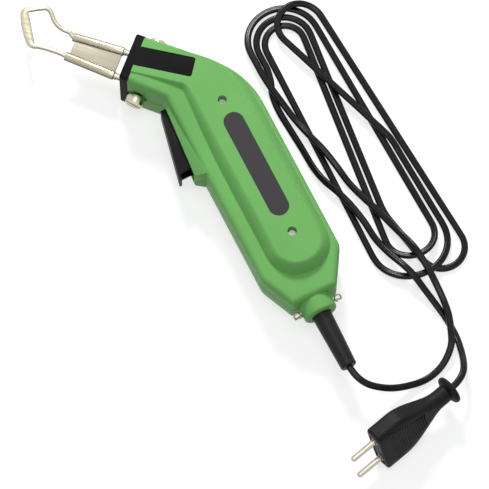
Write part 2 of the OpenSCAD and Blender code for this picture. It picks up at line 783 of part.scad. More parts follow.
// Leads inside the casing, with heights above the middle plane. The first points count from the stub's end
live_in = [[0, 1, 0], [4, 1, 0], [10, -6, 2], [20, -16, 10.5], [34, -18, 13.5]];
live_on = [
    [-10, -18, 13.5], [10, -18, 13.5], [17, -17.5, 12.2], [21.5, -14.5, 9.5], [23, -8, 8], [23.4, -1, 7.6],
    [23.4, 6, 6.6], [23.4, 11, 4], [24.5, 13, 2]];
live_end = [13, 2];
neutral_in = [[0, 3.2, 0], [4, 3.2, 0], [13, 7, 3], [22, 9, 8], [31, 6, 13.3]];
coil_lead_y = [3, -1];
coil_lead_h = 13.7;
lead_run = 2.5;
switched_on = [[16, -1, 12.8], [20.3, -0.3, 10.5], [20.6, 8, 8.5], [20.8, 15, 4], [22, 19, 0],
    [24, 20, -1.5]];
switched_end = [20, -1.5];
switch_back = switch_x - switch_len / 2;
coil_back = core_back + yoke + fit;
coil_front = core_front - yoke - fit;
function inside(pts) = [for (p = pts) [p[0], p[1], zm + p[2]]];
function from_stub(pts) = [for (p = pts) [p[0] - stub_end, p[1], p[2]]];
live_points = inside(concat(from_stub(live_in), live_on, [[switch_back, live_end[0], live_end[1]]]));
neutral_points = inside(concat(from_stub(neutral_in), [
    [coil_back - 2 * lead_run, coil_lead_y[0], coil_lead_h],
    [coil_back - lead_run, coil_lead_y[0], coil_lead_h],
    [coil_back, coil_lead_y[0], coil_lead_h]]));
switched_points = inside(concat(
    [[coil_front, coil_lead_y[1], coil_lead_h], [coil_front + lead_run, coil_lead_y[1], coil_lead_h]],
    switched_on, [[switch_back, switched_end[0], switched_end[1]]]));
module live_lead() { color("brown") loft(tube(live_points, wire_lead_d, wire_sides)); }
module neutral_lead() { color("blue") loft(tube(neutral_points, wire_lead_d, wire_sides)); }
module switched_lead() { color("brown") loft(tube(switched_points, wire_lead_d, wire_sides)); }

// Cord on the table. Heights in the tables are in levels: 0 lies on the table, 1 on one strand below
function lay(p) = [p[0], p[1], floor_z + p[2] * level];
lead_start = -collar_end - relief_len;
lead_rise = (zm - floor_z) / level;
lead_points = [for (p = [
    [lead_start, collar_y, lead_rise], [lead_start - cord_d / 4, collar_y, lead_rise], [-151.7, 0.66, 3.71],
    [-157.65, -3.1, 3.28], [-161.4, -8.9, 2.64], [-164.9, -18.9, 1.52], [-167, -30, 0.56],
    [-167.6, -41, 0.06], [-165.5, -51.2, 0.1], [-161, -59.6, 0.55], [-154.5, -66.3, 1.1],
    [-147, -70, 1.1], [-136, -74, 1], [-125, -75.8, 0.8], [-114, -76.2, 1.3], [-104, -75.8, 2.05],
    [-95, -75, 2.3], [-86, -74, 2.3], [-76, -72, 1.7], [-64, -69, 1.1], [-52, -65.5, 1.15], [-40, -61.5, 1],
    [-26, -58, 0.4], [-12, -56, 0.4], [2, -53, 1.05], [16, -49, 1.05], [30, -46, 0.6], [45, -43.5, 0.95],
    [58, -41.5, 1.1], [68, -40.8, 1.1], [72, -40.8, 1.1], [76, -40.8, 1.1]]) lay(p)];
tail_points = [for (p = [
    [76, -46.2, 0], [71, -46.2, 0], [62, -44.5, 0], [52, -41, 0], [40, -39.8, 0], [26, -40.5, 0],
    [10, -41.5, 0], [-6, -42, 0.3], [-18, -44, 0.9], [-29, -48, 1.15], [-40, -51.5, 1.05],
    [-54, -54.6, 0.4], [-68, -55.8, 0.4], [-82, -59, 1.1], [-93, -62.5, 1.9], [-103, -65.5, 1.95],
    [-114, -68, 1.1], [-126, -70.5, 0.3], [-138, -72.2, 0], [-150, -72.2, 0.15], [-161, -70, 1.2],
    [-170.5, -66.7, 2.3], [-178.4, -62.1, 3]]) lay(p)];
plug_dir = [cos(plug_heading), sin(plug_heading), 0];
plug_start = [plug_at[0], plug_at[1], plug_z];
tail_ends = [plug_start - cord_d * plug_dir, plug_start];
// The hank's bends: centre, radius (plus turns counter-clockwise), levels at start, middle and end
hank_bends = [
    [76, -40.8, 0, 1.1, 1.1, 1.1],
    [82.8, -64.8, -24, 1, 0, 0],
    [-74, -77.5, -16.3, 0, 1.1, 0],
    [81, -64.6, 13.3, 0, 0, 0],
    [-78, -74.5, 25.5, 0, 1.1, 0],
    [-20, -57.3, 40, 0, 0.6, 1.1],
    [87.5, -79.5, -15.5, 1.1, 1.1, 0],
    [-91, -92, -15.2, 0, 0, 0],
    [-52, -109.5, -40, 0, 0, 0],
    [82, -64.6, 18.4, 0, 0, 0],
    [76, -46.2, 0, 0, 0, 0]];
bend_step = 30;
run_steps = 5;
function run_angle(a, b) =
    let (d = flat(b) - flat(a))
    atan2(d[1], d[0]) - asin((b[2] - a[2]) / norm(d));
function touch(c, angle) = flat(c) - c[2] * left([cos(angle), sin(angle)]);
function smooth(t) = t * t * (3 - 2 * t);
function rise(c, t) = t < 0.5 ? c[3] + (c[4] - c[3]) * smooth(2 * t)
    : c[4] + (c[5] - c[4]) * smooth(2 * t - 1);
function sweep_angle(from, to, sense) =
    let (d = to - from)
    sense > 0 ? d - 360 * floor(d / 360) : d - 360 * ceil(d / 360);
function hank_path(step, runs) =
    let (last = len(hank_bends) - 1,
         angles = [for (i = [0 : last - 1]) run_angle(hank_bends[i], hank_bends[i + 1])])
    [for (i = [0 : last])
        let (c = hank_bends[i],
             from = angles[max(i - 1, 0)],
             arc = i == 0 || i == last ? 0 : sweep_angle(from, angles[i], c[2]),
             n = max(1, ceil(abs(arc) / step)))
        each concat(
            i == 0 || i == last ? [lay([c[0], c[1], c[3]])] :
                [for (k = [0 : n]) let (p = touch(c, from + arc * k / n))
                    lay([p[0], p[1], rise(c, k / n)])],
            i == last ? [] :
                let (a = touch(c, angles[i]), b = touch(hank_bends[i + 1], angles[i]),
                    z = hank_bends[i + 1][3])
                [for (k = [1 : runs - 1]) let (p = a + (b - a) * k / runs, s = smooth(k / runs))
                    lay([p[0], p[1], c[5] + (z - c[5]) * s])])];
hank_points = hank_path(bend_step, run_steps);
// Least gap between points of two paths, leaving out neighbours on one path
function fine(pts) =
    [for (i = [0 : len(pts) - 2]) for (k = [0 : 3]) pts[i] + (pts[i + 1] - pts[i]) * k / 4];
function along(pts) = [for (i = 0, s = 0; i < len(pts);
    s = s + (i + 1 < len(pts) ? norm(pts[i + 1] - pts[i]) : 0), i = i + 1) s];
function self_gap(pts, apart) =
    let (p = fine(pts), s = along(p))
    min([for (i = [0 : len(p) - 1]) for (j = [i + 1 : 1 : len(p) - 1])
        if (s[j] - s[i] > apart) norm(p[i] - p[j])]) - cord_d;
function pair_gap(a, b) = min([for (p = fine(a)) for (q = fine(b)) norm(p - q)]) - cord_d;
module cord_lead() { color("black") loft(tube(lead_points, cord_d, cord_sides)); }
module cord_tail() { color("black") loft(tube(concat(tail_points, tail_ends), cord_d, cord_sides)); }
module cord_hank() {
    echo(hank_gap = self_gap(hank_points, 5 * cord_d));
    color("black") loft(tube(hank_points, cord_d, hank_sides));
}

// Plug, lying on its narrow edge
module plug_frame() {
    translate(plug_start) rotate([0, 0, plug_heading]) rotate([90 + plug_roll, 0, 0]) children();
}
plug_corners = [
    [plug_len, plug_w / 2, plug_edge],
    [neck_len + flare_len, plug_w / 2, plug_w],
    [neck_len, neck_w / 2, plug_w],
    [plug_flange_t / 2, neck_w / 2, least_r],
    [plug_flange_t / 2, -neck_w / 2, least_r],
    [neck_len, -neck_w / 2, plug_w],
    [neck_len + flare_len, -plug_w / 2, plug_w],
    [plug_len, -plug_w / 2, plug_edge]];
module plug_body() {
    color("black") plug_frame() {
        loft([
            ring(plug_corners, plug_edge / 2, -plug_t / 2),
            ring(plug_corners, plug_edge / 6, plug_edge / 3 - plug_t / 2),
            ring(plug_corners, 0, plug_edge - plug_t / 2),
            ring(plug_corners, 0, plug_t / 2 - plug_edge),
            ring(plug_corners, plug_edge / 6, plug_t / 2 - plug_edge / 3),
            ring(plug_corners, plug_edge / 2, plug_t / 2)]);
        rotate([0, 90, 0]) cylinder(d = plug_flange_w, h = plug_flange_t);
    }
}
module plug_pins() {
    color("silver") plug_frame() for (s = [-1, 1]) translate([plug_len, s * pin_gap / 2, 0])
        rotate([0, 90, 0]) cylinder(d = prong_d, h = prong_len);
}

upper_casing();
lower_casing();
nose_insert();
label_plate();
casing_screws();
rear_clip();
trigger();
trigger_pin();
switch_body();
switch_plunger();
core_e_stack();
core_i_stack();
coil_bobbin();
primary_coil();
upper_bus_bar();
lower_bus_bar();
upper_terminal();
lower_terminal();
upper_clamp_screw();
lower_clamp_screw();
upper_contact_tube();
lower_contact_tube();
spacer_plate();
blade_wire();
strain_relief();
cord_stub();
cord_clamp_bar();
cord_clamp_screws();
live_lead();
neutral_lead();
switched_lead();
cord_lead();
cord_hank();
cord_tail();
plug_body();
plug_pins();
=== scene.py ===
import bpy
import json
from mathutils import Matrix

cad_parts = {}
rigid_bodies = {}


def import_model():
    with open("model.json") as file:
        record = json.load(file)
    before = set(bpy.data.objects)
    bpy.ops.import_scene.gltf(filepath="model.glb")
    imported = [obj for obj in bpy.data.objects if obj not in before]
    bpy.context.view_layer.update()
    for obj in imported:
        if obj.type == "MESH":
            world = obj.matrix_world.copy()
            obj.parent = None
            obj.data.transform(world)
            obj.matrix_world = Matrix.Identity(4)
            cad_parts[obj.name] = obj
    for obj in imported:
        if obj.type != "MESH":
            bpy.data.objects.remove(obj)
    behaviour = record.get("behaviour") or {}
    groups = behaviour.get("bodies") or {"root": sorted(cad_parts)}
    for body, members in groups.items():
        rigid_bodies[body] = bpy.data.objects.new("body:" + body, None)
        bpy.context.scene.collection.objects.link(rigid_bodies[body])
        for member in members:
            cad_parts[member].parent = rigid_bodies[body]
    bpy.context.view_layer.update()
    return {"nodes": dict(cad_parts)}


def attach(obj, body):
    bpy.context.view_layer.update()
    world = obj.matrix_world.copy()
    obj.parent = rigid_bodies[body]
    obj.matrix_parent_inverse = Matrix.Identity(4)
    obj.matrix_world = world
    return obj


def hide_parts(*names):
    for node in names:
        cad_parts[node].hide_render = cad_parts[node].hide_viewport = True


bl_info = {
    "name": "Electric Hot Knife",
    "version": (1, 0, 0),
    "blender": (4, 5, 0),
    "location": "View3D > Sidebar > Hot Knife",
    "description": "Dresses the packed hot knife: moulded casing, blade cartridge, trigger, cord and plug",
    "category": "Object",
}

import json
import math
from contextlib import contextmanager
from math import cos, radians, sin

import bmesh
import bpy
import numpy as np
from mathutils import Matrix, Vector
from mathutils.geometry import delaunay_2d_cdt, intersect_point_line

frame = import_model()
MM = 0.001

# Places and sizes in millimetres, as in the part's source. In the nose, u runs forward and v across.
ZM = 21.5
NOSE_AT = (105.0, 38.0)
NOSE_ANGLE = 43.0
FRONT_U = -6.0
TAB_AT = (101.635, 32.811)
TAB_SKEW = 8.0
TAB_HALF = 6.8
TAB_LONG = 37.5
NOSE_SIDES = (-1, "upper"), (1, "lower")
CLAMP_U = -12.5
CLAMP_FACE = 17.046
CLAMP_HOLE_R = 3.2
TUBE_V = 9.0
SPIGOT_HALF = (13.0, 10.5)
CASING_CORNERS = [(112.044, 21.649, 1), (89.18, 46.167, 1), (67.91, 28, 4), (-70.5, 28, 12), (-94, 17.6, 3),
                  (-94, -13.6, 3), (-70.5, -28, 12), (63.254, -28, 55)]
PANEL_CORNERS = [(109.867, 23.396, 1), (93.158, 41.314, 1), (69.42, 12, 9), (-72.5, 12, 13.8),
                 (-72.5, -18, 13.8), (69.187, -18, 44)]
FOOT_CORNERS = [(111.478, 21.669, 1), (90.499, 44.167, 1), (69.714, 18.5, 2.5), (-79, 18.5, 20.3),
                (-79, -24.5, 20.3), (66.108, -24.5, 50.5)]
GRIP_HALF = 28.0
SLOT_LOW, SLOT_HIGH, SLOT_HALF = 15.9, 67.0, 7.3
HINGE_AT = (62.0, 28.8)
SCREW_PLACES = [(49.5, -3.0), (-51.5, -3.0)]
SCREW_SEAT = 35.0
SLOT_TURN = 35.0
COLLAR_Y, COLLAR_R, COLLAR_END, BORE_R = 2.0, 11.25, -104.5, 6.6
RELIEF_TIP = -143.5
PLUG_AT = (-184.3, -50.5, 18.083)
PLUG_HEADING = 104.4
PLUG_ROLL = 20.0
WIRE_R = 1.5
CLIP_R = 0.6
# Casing mesh: rise of the shoulder at the nose and the length over which it fades, overrun past the front
# plate, spacing on the outline, run of the roof's edge, insets round the shoulder's edge, and shares of the
# slope from its foot to the panel
NOSE_RISE, BROW_LEN = 7.0, 82.0
NOSE_AHEAD = 7.0
PITCH = 4.0
ROOF_EDGE = 1.5
EDGE_INSETS = (0.12, 0.4, 0.85, 1.5, 2.3, 3.1, 4.0)
SLOPE_SHARES = (-0.16, -0.09, -0.04, 0, 0.04, 0.1, 0.18, 0.27, 0.36, 0.46, 0.56, 0.66, 0.76, 0.85, 0.93, 1.0,
                1.08, 1.2)

# Cord: free stretches, and the bends of the loose hank as centre, signed radius and three heights in levels
FLOOR_Z, LEVEL = 2.2, 5.0
LEAD = [(-143.5, 2, 3.86), (-144.6, 2, 3.86), (-151.7, 0.66, 3.71), (-157.65, -3.1, 3.28),
        (-161.4, -8.9, 2.64), (-164.9, -18.9, 1.52), (-167, -30, 0.56), (-167.6, -41, 0.06),
        (-165.5, -51.2, 0.1), (-161, -59.6, 0.55), (-154.5, -66.3, 1.1), (-147, -70, 1.1), (-136, -74, 1),
        (-125, -75.8, 0.8), (-114, -76.2, 1.3), (-104, -75.8, 2.05), (-95, -75, 2.3), (-86, -74, 2.3),
        (-76, -72, 1.7), (-64, -69, 1.1), (-52, -65.5, 1.15), (-40, -61.5, 1), (-26, -58, 0.4),
        (-12, -56, 0.4), (2, -53, 1.05), (16, -49, 1.05), (30, -46, 0.6), (45, -43.5, 0.95), (58, -41.5, 1.1),
        (68, -40.8, 1.1), (72, -40.8, 1.1)]
HANK = [(76, -40.8, 0, 1.1, 1.1, 1.1), (82.8, -64.8, -24, 1, 0, 0), (-74, -77.5, -16.3, 0, 1.1, 0),
        (81, -64.6, 13.3, 0, 0, 0), (-78, -74.5, 25.5, 0, 1.1, 0), (-20, -57.3, 40, 0, 0.6, 1.1),
        (87.5, -79.5, -15.5, 1.1, 1.1, 0), (-91, -92, -15.2, 0, 0, 0), (-52, -109.5, -40, 0, 0, 0),
        (82, -64.6, 18.4, 0, 0, 0), (76, -46.2, 0, 0, 0, 0)]
TAIL = [(71, -46.2, 0), (62, -44.5, 0), (52, -41, 0), (40, -39.8, 0), (26, -40.5, 0), (10, -41.5, 0),
        (-6, -42, 0.3), (-18, -44, 0.9), (-29, -48, 1.15), (-40, -51.5, 1.05), (-54, -54.6, 0.4),
        (-68, -55.8, 0.4), (-82, -59, 1.1), (-93, -62.5, 1.9), (-103, -65.5, 1.95), (-114, -68, 1.1),
        (-126, -70.5, 0.3), (-138, -72.2, 0), (-150, -72.2, 0.15), (-161, -70, 1.2), (-170.5, -66.7, 2.3),
        (-178.4, -62.1, 3), (-183.206, -54.762, 3.1766), (-184.3, -50.5, 3.1766)]
# Cord's lay: height on the floor, share of a crossing's height, where it leaves the floor and over how much,
# reach of the easing, and length at each end where it also eases the plan
CORD_LOW, CROSS_SHARE = 1.94, 0.78
FREE_FROM, FREE_OVER = 10.0, 7.0
EASE_REACH, EASE_ENDS = 10.0, 40.0
# Cord's twist: two waves as size, length and phase in radians, and length at each end that stays flat
CORD_WAVES = [(0.25, 41, 0.6), (0.2, 97, 2.0)]
CALM_ENDS = 30.0
# Blade: shares of its reach and half span, then of the wire's width and thickness
BLADE_REACH, BLADE_SPAN = 38.0, 14.5
BLADE = [(0.09, -0.64, 1, 1), (0.22, -0.67, 1, 1), (0.34, -0.78, 1, 1), (0.43, -0.96, 1, 1),
         (0.51, -1.2, 1, 1), (0.57, -1.33, 1, 1), (0.64, -1.37, 1, 1), (0.76, -1.22, 1, 1),
         (0.87, -1.07, 1.1, 0.9), (0.94, -0.97, 1.3, 0.8), (0.955, -0.83, 1.7, 0.6), (0.905, -0.56, 2, 0.5),
         (0.82, -0.18, 2.1, 0.45), (0.735, 0.16, 2, 0.5), (0.65, 0.46, 1.7, 0.6), (0.59, 0.55, 1.2, 0.8),
         (0.5, 0.5, 1, 1), (0.36, 0.46, 1, 1), (0.2, 0.45, 1, 1), (0.09, 0.46, 1, 1)]
# Plug: stations along its body, taper of its half width, half thickness and squareness as first value, start and
# run, last squareness, and its cord flange as places and radii
STATIONS = [4, 6, 9, *range(12, 50, 2), 51, 55, 59, 61]
PLUG_TAPER = [(6.0, 13, 34), (5.6, 10, 30), (2.2, 12, 22)]
PLUG_SQUARE = 7.0
FLANGE = [(0, 7.4), (0.15, 8.5), (0.7, 9.4), (1.6, 9.8), (2.7, 9.6), (3.6, 8.8), (4.2, 7.6), (5.0, 5.9)]
RIB_FIRST, RIB_LAST, RIB_SHORT, RIB_LONG, RIB_R = 27.0, 54.0, 11.0, 29.0, 0.62
PIN_LONG, PIN_V = 19.0, 9.5

# Plastics: colour, its share, roughness, grain's scale and bump, tone drift, scuffs and specular level
PLASTICS = {
    "casing_green": ("green", 1, 0.42, 1500, 0.12, 0.04, 0.12, 0.14),
    "nose_black": ("black", 0.7, 0.55, 1100, 0.3, 0.1, 0.12, 0.07),
    "trigger_black": ("black", 0.8, 0.42, 900, 0.18, 0.1, 0.15, 0.1),
    "relief_black": ("black", 1.1, 0.4, 800, 0.15, 0.1, 0.2, 0.2),
    "plug_black": ("black", 1, 0.45, 1000, 0.25, 0.1, 0.2, 0.12),
    "cord_black": ("black", 0.6, 0.24, 700, 0.05, 0.12, 0.1, 0.2),
    "label_foil": ("label", 1, 0.5, 2400, 0.35, 0.05, 0.1, 0.15),
    "bobbin_cream": ((0.6, 0.53, 0.38), 1, 0.5, 1800, 0.25, 0.06, 0.1, 0.5),
    "switch_brown": ((0.1, 0.035, 0.018), 1, 0.38, 1800, 0.25, 0.06, 0.15, 0.5),
    "plunger_red": ((0.4, 0.02, 0.015), 1, 0.35, 1800, 0.25, 0.06, 0.1, 0.5),
    "lead_brown": ((0.12, 0.045, 0.02), 1, 0.4, 900, 0.25, 0.06, 0.3, 0.5),
    "lead_blue": ((0.02, 0.06, 0.25), 1, 0.4, 900, 0.25, 0.06, 0.3, 0.5)}
# Metals: colour, its share, roughness, lines' turn, scale and bump, tarnish, then rounded (painted shade at its
# sides), metallic and streak
METALS = {
    "plated_silver": ("silver", 1, 0.2, -NOSE_ANGLE, 1800, 0.06, 0.9, True),
    "web_brushed": ("web", 1, 0.5, -NOSE_ANGLE, 1300, 0.2, 0.92, False, 0.2, 0.35),
    "blade_drawn": ("silver", 1.1, 0.24, -NOSE_ANGLE, 1500, 0.02, 0.9, True),
    "screw_dark": ((0.6, 0.6, 0.58), 1, 0.35, 0, 1800, 0.12, 0.7),
    "screw_nickel": ("silver", 1.1, 0.26, -NOSE_ANGLE, 2000, 0.12, 0.8),
    "clip_wire": ((0.4, 0.38, 0.34), 1, 0.25, 0, 1500, 0.1, 0.75),
    "pin_nickel": ((0.56, 0.52, 0.45), 1, 0.22, -PLUG_HEADING, 1800, 0.08, 0.85),
    "bar_copper": ((0.72, 0.36, 0.2), 1, 0.32, 0, 1500, 0.15, 0.7)}
# Stacked sheets and wound wire: colour, its share, colour of the gaps, pitch, axis, roughness and metallic
STACKS = {
    "core_sheets": ((0.2, 0.21, 0.23), 1, (0.07, 0.07, 0.08), 0.5, "Z", 0.4, 0.6),
    "coil_turns": ((0.5, 0.17, 0.06), 1, (0.2, 0.06, 0.02), 0.6, "X", 0.3, 0.5)}
# Finishes of the nodes that are carried over from the solids
INNER_FINISHES = {
    "label_plate": "label_foil", "trigger_pin": "screw_nickel", "switch_body": "switch_brown",
    "switch_plunger": "plunger_red", "core_e_stack": "core_sheets", "core_i_stack": "core_sheets",
    "coil_bobbin": "bobbin_cream", "primary_coil": "coil_turns", "upper_bus_bar": "bar_copper",
    "lower_bus_bar": "bar_copper", "upper_terminal": "bar_copper", "lower_terminal": "bar_copper",
    "cord_stub": "cord_black", "cord_clamp_bar": "bobbin_cream", "cord_clamp_screws": "screw_nickel",
    "live_lead": "lead_brown", "neutral_lead": "lead_blue", "switched_lead": "lead_brown"}
# Tone of tarnish, share of a round metal's tone that is left at its sides as painted shade, and a wave texture's
# scale for stripes that are one unit apart
TARNISH = np.array([1.0, 0.96, 0.9])
PAINTED_SIDE_TONE = 0.2
WAVE_TURN = 0.314
# Finishes by name, filled once
FINISHES = {}


def length(name, description, value_mm):
    return bpy.props.FloatProperty(name=name, description=description, default=value_mm * MM, min=0.0,
                                   unit="LENGTH", precision=4)


def colour(name, description, rgb):
    return bpy.props.FloatVectorProperty(name=name, description=description, default=rgb, min=0.0, max=1.0,
                                         size=3, subtype="COLOR")


class CasingSizes(bpy.types.PropertyGroup):
    shoulder: length("Shoulder Height", "Height of the shoulder above the parting plane", 13.5)
    top: length("Panel Height", "Height of the raised panel above the parting plane", 21.5)
    wall: length("Wall", "Wall thickness of the moulded halves", 2.5)
    edge: length("Edge Radius", "Radius of the shoulder's outer edge", 4.0)
    slope: length("Slope Run", "Width of the slope round the panel", 6.5)
    swell: bpy.props.FloatProperty(name="Slope Swell", default=1.6, min=1.1, max=3.0,
                                   description="How much steeper the slope is at its foot than even")
    valley: length("Valley Rounding", "Softness of the line where the slope meets the shoulder", 0.5)
    groove: length("Parting Groove", "Chamfer along the parting line", 0.55)


class CordSizes(bpy.types.PropertyGroup):
    width: length("Cord Width", "Width of the flat two-core cord", 4.6)
    core: length("Core Radius", "Radius of the insulation round one core", 1.5)
    step: length("Ring Step", "Distance between the rings of the cord", 1.6)


class PlugSizes(bpy.types.PropertyGroup):
    width: length("Plug Width", "Width of the plug's body", 35.3)
    thick: length("Plug Thickness", "Thickness of the plug's body", 13.7)
    long: length("Plug Length", "Length of the plug without its pins", 63.0)
    ribs: bpy.props.IntProperty(name="Grip Ribs", description="Ribs across each broad face", default=15, min=2,
                                max=30)
    pin: length("Pin Diameter", "Diameter of the contact pins", 4.0)


class FinishColours(bpy.types.PropertyGroup):
    green: colour("Casing Green", "Moulded casing", (0.185, 0.5, 0.135))
    black: colour("Black Plastic", "Nose plate, trigger, relief and plug", (0.009, 0.009, 0.009))
    label: colour("Label", "Bare label plate", (0.05, 0.044, 0.05))
    silver: colour("Plated Metal", "Tubes, screws and pins", (0.57, 0.54, 0.41))
    web: colour("Web Plate", "Brushed plate between the tubes", (0.54, 0.49, 0.385))


SETTINGS = {"hot_knife_casing": CasingSizes, "hot_knife_cord": CordSizes, "hot_knife_plug": PlugSizes,
            "hot_knife_finish": FinishColours}


# Shape tools, in millimetres and degrees
def lerp(a, b, t):
    return a + (b - a) * t


def smooth_step(t):
    t = np.clip(t, 0, 1)
    return t * t * (3 - 2 * t)


def soft_max(a, b, k):
    return np.maximum(a, b) + np.maximum(k - np.abs(a - b), 0) ** 2 / (4 * k)


def left(v):
    return np.array([-v[1], v[0]])


def heading(angle):
    return np.array([cos(radians(angle)), sin(radians(angle))])


def spun(v, angle):
    c, s = heading(angle)
    return np.array([v[0] * c - v[1] * s, v[0] * s + v[1] * c])


def shift(x=0.0, y=0.0, z=0.0):
    return Matrix.Translation(Vector((x, y, z)) * MM)


def spin(angle, axis="Z"):
    return Matrix.Rotation(radians(angle), 4, axis)


def in_nose(u=0.0, v=0.0, skew=0.0, z=ZM):
    """Matrix to a place in the nose, turned with it."""
    x, y = np.array(NOSE_AT) + spun((u, v), NOSE_ANGLE)
    return shift(x, y, z) @ spin(NOSE_ANGLE + skew)


def in_tab():
    return shift(*TAB_AT) @ spin(NOSE_ANGLE + TAB_SKEW)


def in_plug():
    return shift(*PLUG_AT) @ spin(PLUG_HEADING) @ spin(90 + PLUG_ROLL, "X")


def rod(low, high, radius):
    """Profile of a plain round rod."""
    return [(low, 0), (low, radius), (high, radius), (high, 0)]


def rectangle(half_x, low_y, high_y, radius):
    return [(x, y, radius) for x, y in ((half_x, low_y), (half_x, high_y), (-half_x, high_y), (-half_x, low_y))]


def circle(radius, sides):
    return [tuple(radius * heading(360 * k / sides)) for k in range(sides)]


def level(ring, z):
    return [(p[0], p[1], z) for p in ring]


def rounded_ring(corners, inset, steps=8, pitch=None, like=None):
    """Outline with rounded corners, drawn in by inset. With a pitch, straight runs get points about that far
    apart, counted on the outline that it is like."""
    at, model = ([np.array(c[:2], float) for c in ring] for ring in (corners, like or corners))
    n = len(at)
    arcs = []
    for i, here in enumerate(at):
        a, b = here - at[i - 1], at[(i + 1) % n] - here
        a, b = a / np.linalg.norm(a), b / np.linalg.norm(b)
        turn = math.degrees(math.atan2(a[0] * b[1] - a[1] * b[0], a @ b))
        side = 1 if turn > 0 else -1
        r = max(corners[i][2] - side * inset, 0.3)
        lean = (left(a) + left(b)) / (1 + left(a) @ left(b))
        centre = here + (inset + side * r) * lean
        arcs.append([centre - side * r * spun(left(a), turn * k / steps) for k in range(steps + 1)])
    ring = []
    for i, arc in enumerate(arcs):
        run = np.linalg.norm(model[(i + 1) % n] - model[i])
        count = max(1, int(run / pitch)) if pitch else 1
        ring += arc + [lerp(arc[-1], arcs[(i + 1) % n][0], k / count) for k in range(1, count)]
    return np.array(ring)


def depth_in(points, ring):
    """Distance of points inside a closed ring, negative outside."""
    a, b = ring, np.roll(ring, -1, axis=0)
    d = b - a
    rel = points[:, None, :] - a[None]
    t = np.clip((rel * d).sum(2) / np.maximum((d * d).sum(1), 1e-9), 0, 1)
    near = np.linalg.norm(rel - t[..., None] * d, axis=2).min(1)
    up = (a[:, 1] > points[:, None, 1]) != (b[:, 1] > points[:, None, 1])
    rise = np.where(np.abs(d[:, 1]) < 1e-9, 1e-9, d[:, 1])
    cross = points[:, None, 0] < a[:, 0] + d[:, 0] * (points[:, None, 1] - a[:, 1]) / rise
    return np.where((up & cross).sum(1) % 2 == 1, near, -near)


def run_lengths(path):
    """Length along a path up to each of its points."""
    return np.concatenate([[0], np.cumsum(np.linalg.norm(np.diff(path, axis=0), axis=1))])


def catmull(points, step):
    """Smooth curve through points, with about equal steps. Extra columns are carried along."""
    p = np.array(points, float)
    p = np.vstack([2 * p[0] - p[1], p, 2 * p[-1] - p[-2]])
    t = np.linspace(0, 1, 24, endpoint=False)[:, None]
    fine = []
    for before, a, b, after in zip(p, p[1:], p[2:], p[3:]):
        chord = np.linalg.norm((b - a)[:3])
        m0, m1 = (m * min(1.0, chord / max(np.linalg.norm(m[:3]), 1e-6))
                  for m in ((b - before) / 2, (after - a) / 2))
        fine.append((2 * t**3 - 3 * t**2 + 1) * a + (t**3 - 2 * t**2 + t) * m0
                    + (3 * t**2 - 2 * t**3) * b + (t**3 - t**2) * m1)
    fine = np.vstack([*fine, p[-2][None]])
    s = run_lengths(fine[:, :3])
    at = np.linspace(0, s[-1], max(2, int(s[-1] / step) + 1))
    return np.stack([np.interp(at, s, column) for column in fine.T], axis=1)


# Mesh tools
@contextmanager
def editing(mesh):
    bm = bmesh.new()
    bm.from_mesh(mesh)
    yield bm
    bm.to_mesh(mesh)
    bm.free()


def shown(name, data):
    obj = bpy.data.objects.new(name, data)
    bpy.context.scene.collection.objects.link(obj)
    return obj


def smoothed(mesh, angle):
    """Smooth shading, with edges sharper than the angle kept crisp."""
    mesh.polygons.foreach_set("use_smooth", [True] * len(mesh.polygons))
    mesh.set_sharp_from_angle(angle=radians(angle))
    mesh.update()


def clean(obj, angle=35.0, outward=True):
    with editing(obj.data) as bm:
        bmesh.ops.remove_doubles(bm, verts=bm.verts, dist=1e-6)
        if outward:
            bmesh.ops.recalc_face_normals(bm, faces=bm.faces)
    smoothed(obj.data, angle)


def new_mesh(name, verts, faces, angle=35.0):
    """Object with a mesh of millimetre points."""
    mesh = bpy.data.meshes.new(name)
    mesh.from_pydata([tuple(float(c) * MM for c in v) for v in verts], [], [tuple(f) for f in faces])
    mesh.update()
    obj = shown(name, mesh)
    clean(obj, angle)
    return obj


def place(obj, matrix):
    obj.data.transform(matrix)
    obj.data.update()
    return obj


def drop(obj):
    mesh = obj.data
    bpy.data.objects.remove(obj)
    if mesh.users == 0:
        bpy.data.meshes.remove(mesh)


def join(name, parts):
    """One object from several closed meshes."""
    bm = bmesh.new()
    for p in parts:
        bm.from_mesh(p.data)
    mesh = bpy.data.meshes.new(name)
    bm.to_mesh(mesh)
    bm.free()
    for p in parts:
        drop(p)
    return shown(name, mesh)


def applied(obj):
    """Turns an object's modifiers into its own mesh."""
    bpy.context.view_layer.update()
    graph = bpy.context.evaluated_depsgraph_get()
    mesh = bpy.data.meshes.new_from_object(obj.evaluated_get(graph))
    old = obj.data
    obj.modifiers.clear()
    obj.data = mesh
    if old.users == 0:
        bpy.data.meshes.remove(old)
    return obj


def cut(obj, tools, operation="DIFFERENCE"):
    """Cuts each tool out of an object, or adds it, and removes the tool."""
    for t in tools:
        m = obj.modifiers.new("cut", "BOOLEAN")
        m.operation, m.solver, m.object = operation, "EXACT", t
    applied(obj)
    for t in tools:
        drop(t)
    return obj


def stitched(obj):
    """Splits each open edge that another open edge's corner lies on, so that both sides share the corner."""
    def next_gap(bm):
        rim = [e for e in bm.edges if e.is_boundary]
        corners = {v.index: v for e in rim for v in e.verts}
        for e in rim:
            for v in corners.values():
                near, share = intersect_point_line(v.co, e.verts[0].co, e.verts[1].co)
                if v not in e.verts and 0 < share < 1 and (near - v.co).length < 2e-6:
                    return e, v.co.copy()
        return None

    with editing(obj.data) as bm:
        while gap := next_gap(bm):
            edge, corner = gap
            bmesh.utils.edge_split(edge, edge.verts[0], 0.5)[1].co = corner
            bmesh.ops.remove_doubles(bm, verts=bm.verts, dist=1e-6)
            bm.verts.index_update()
    return obj


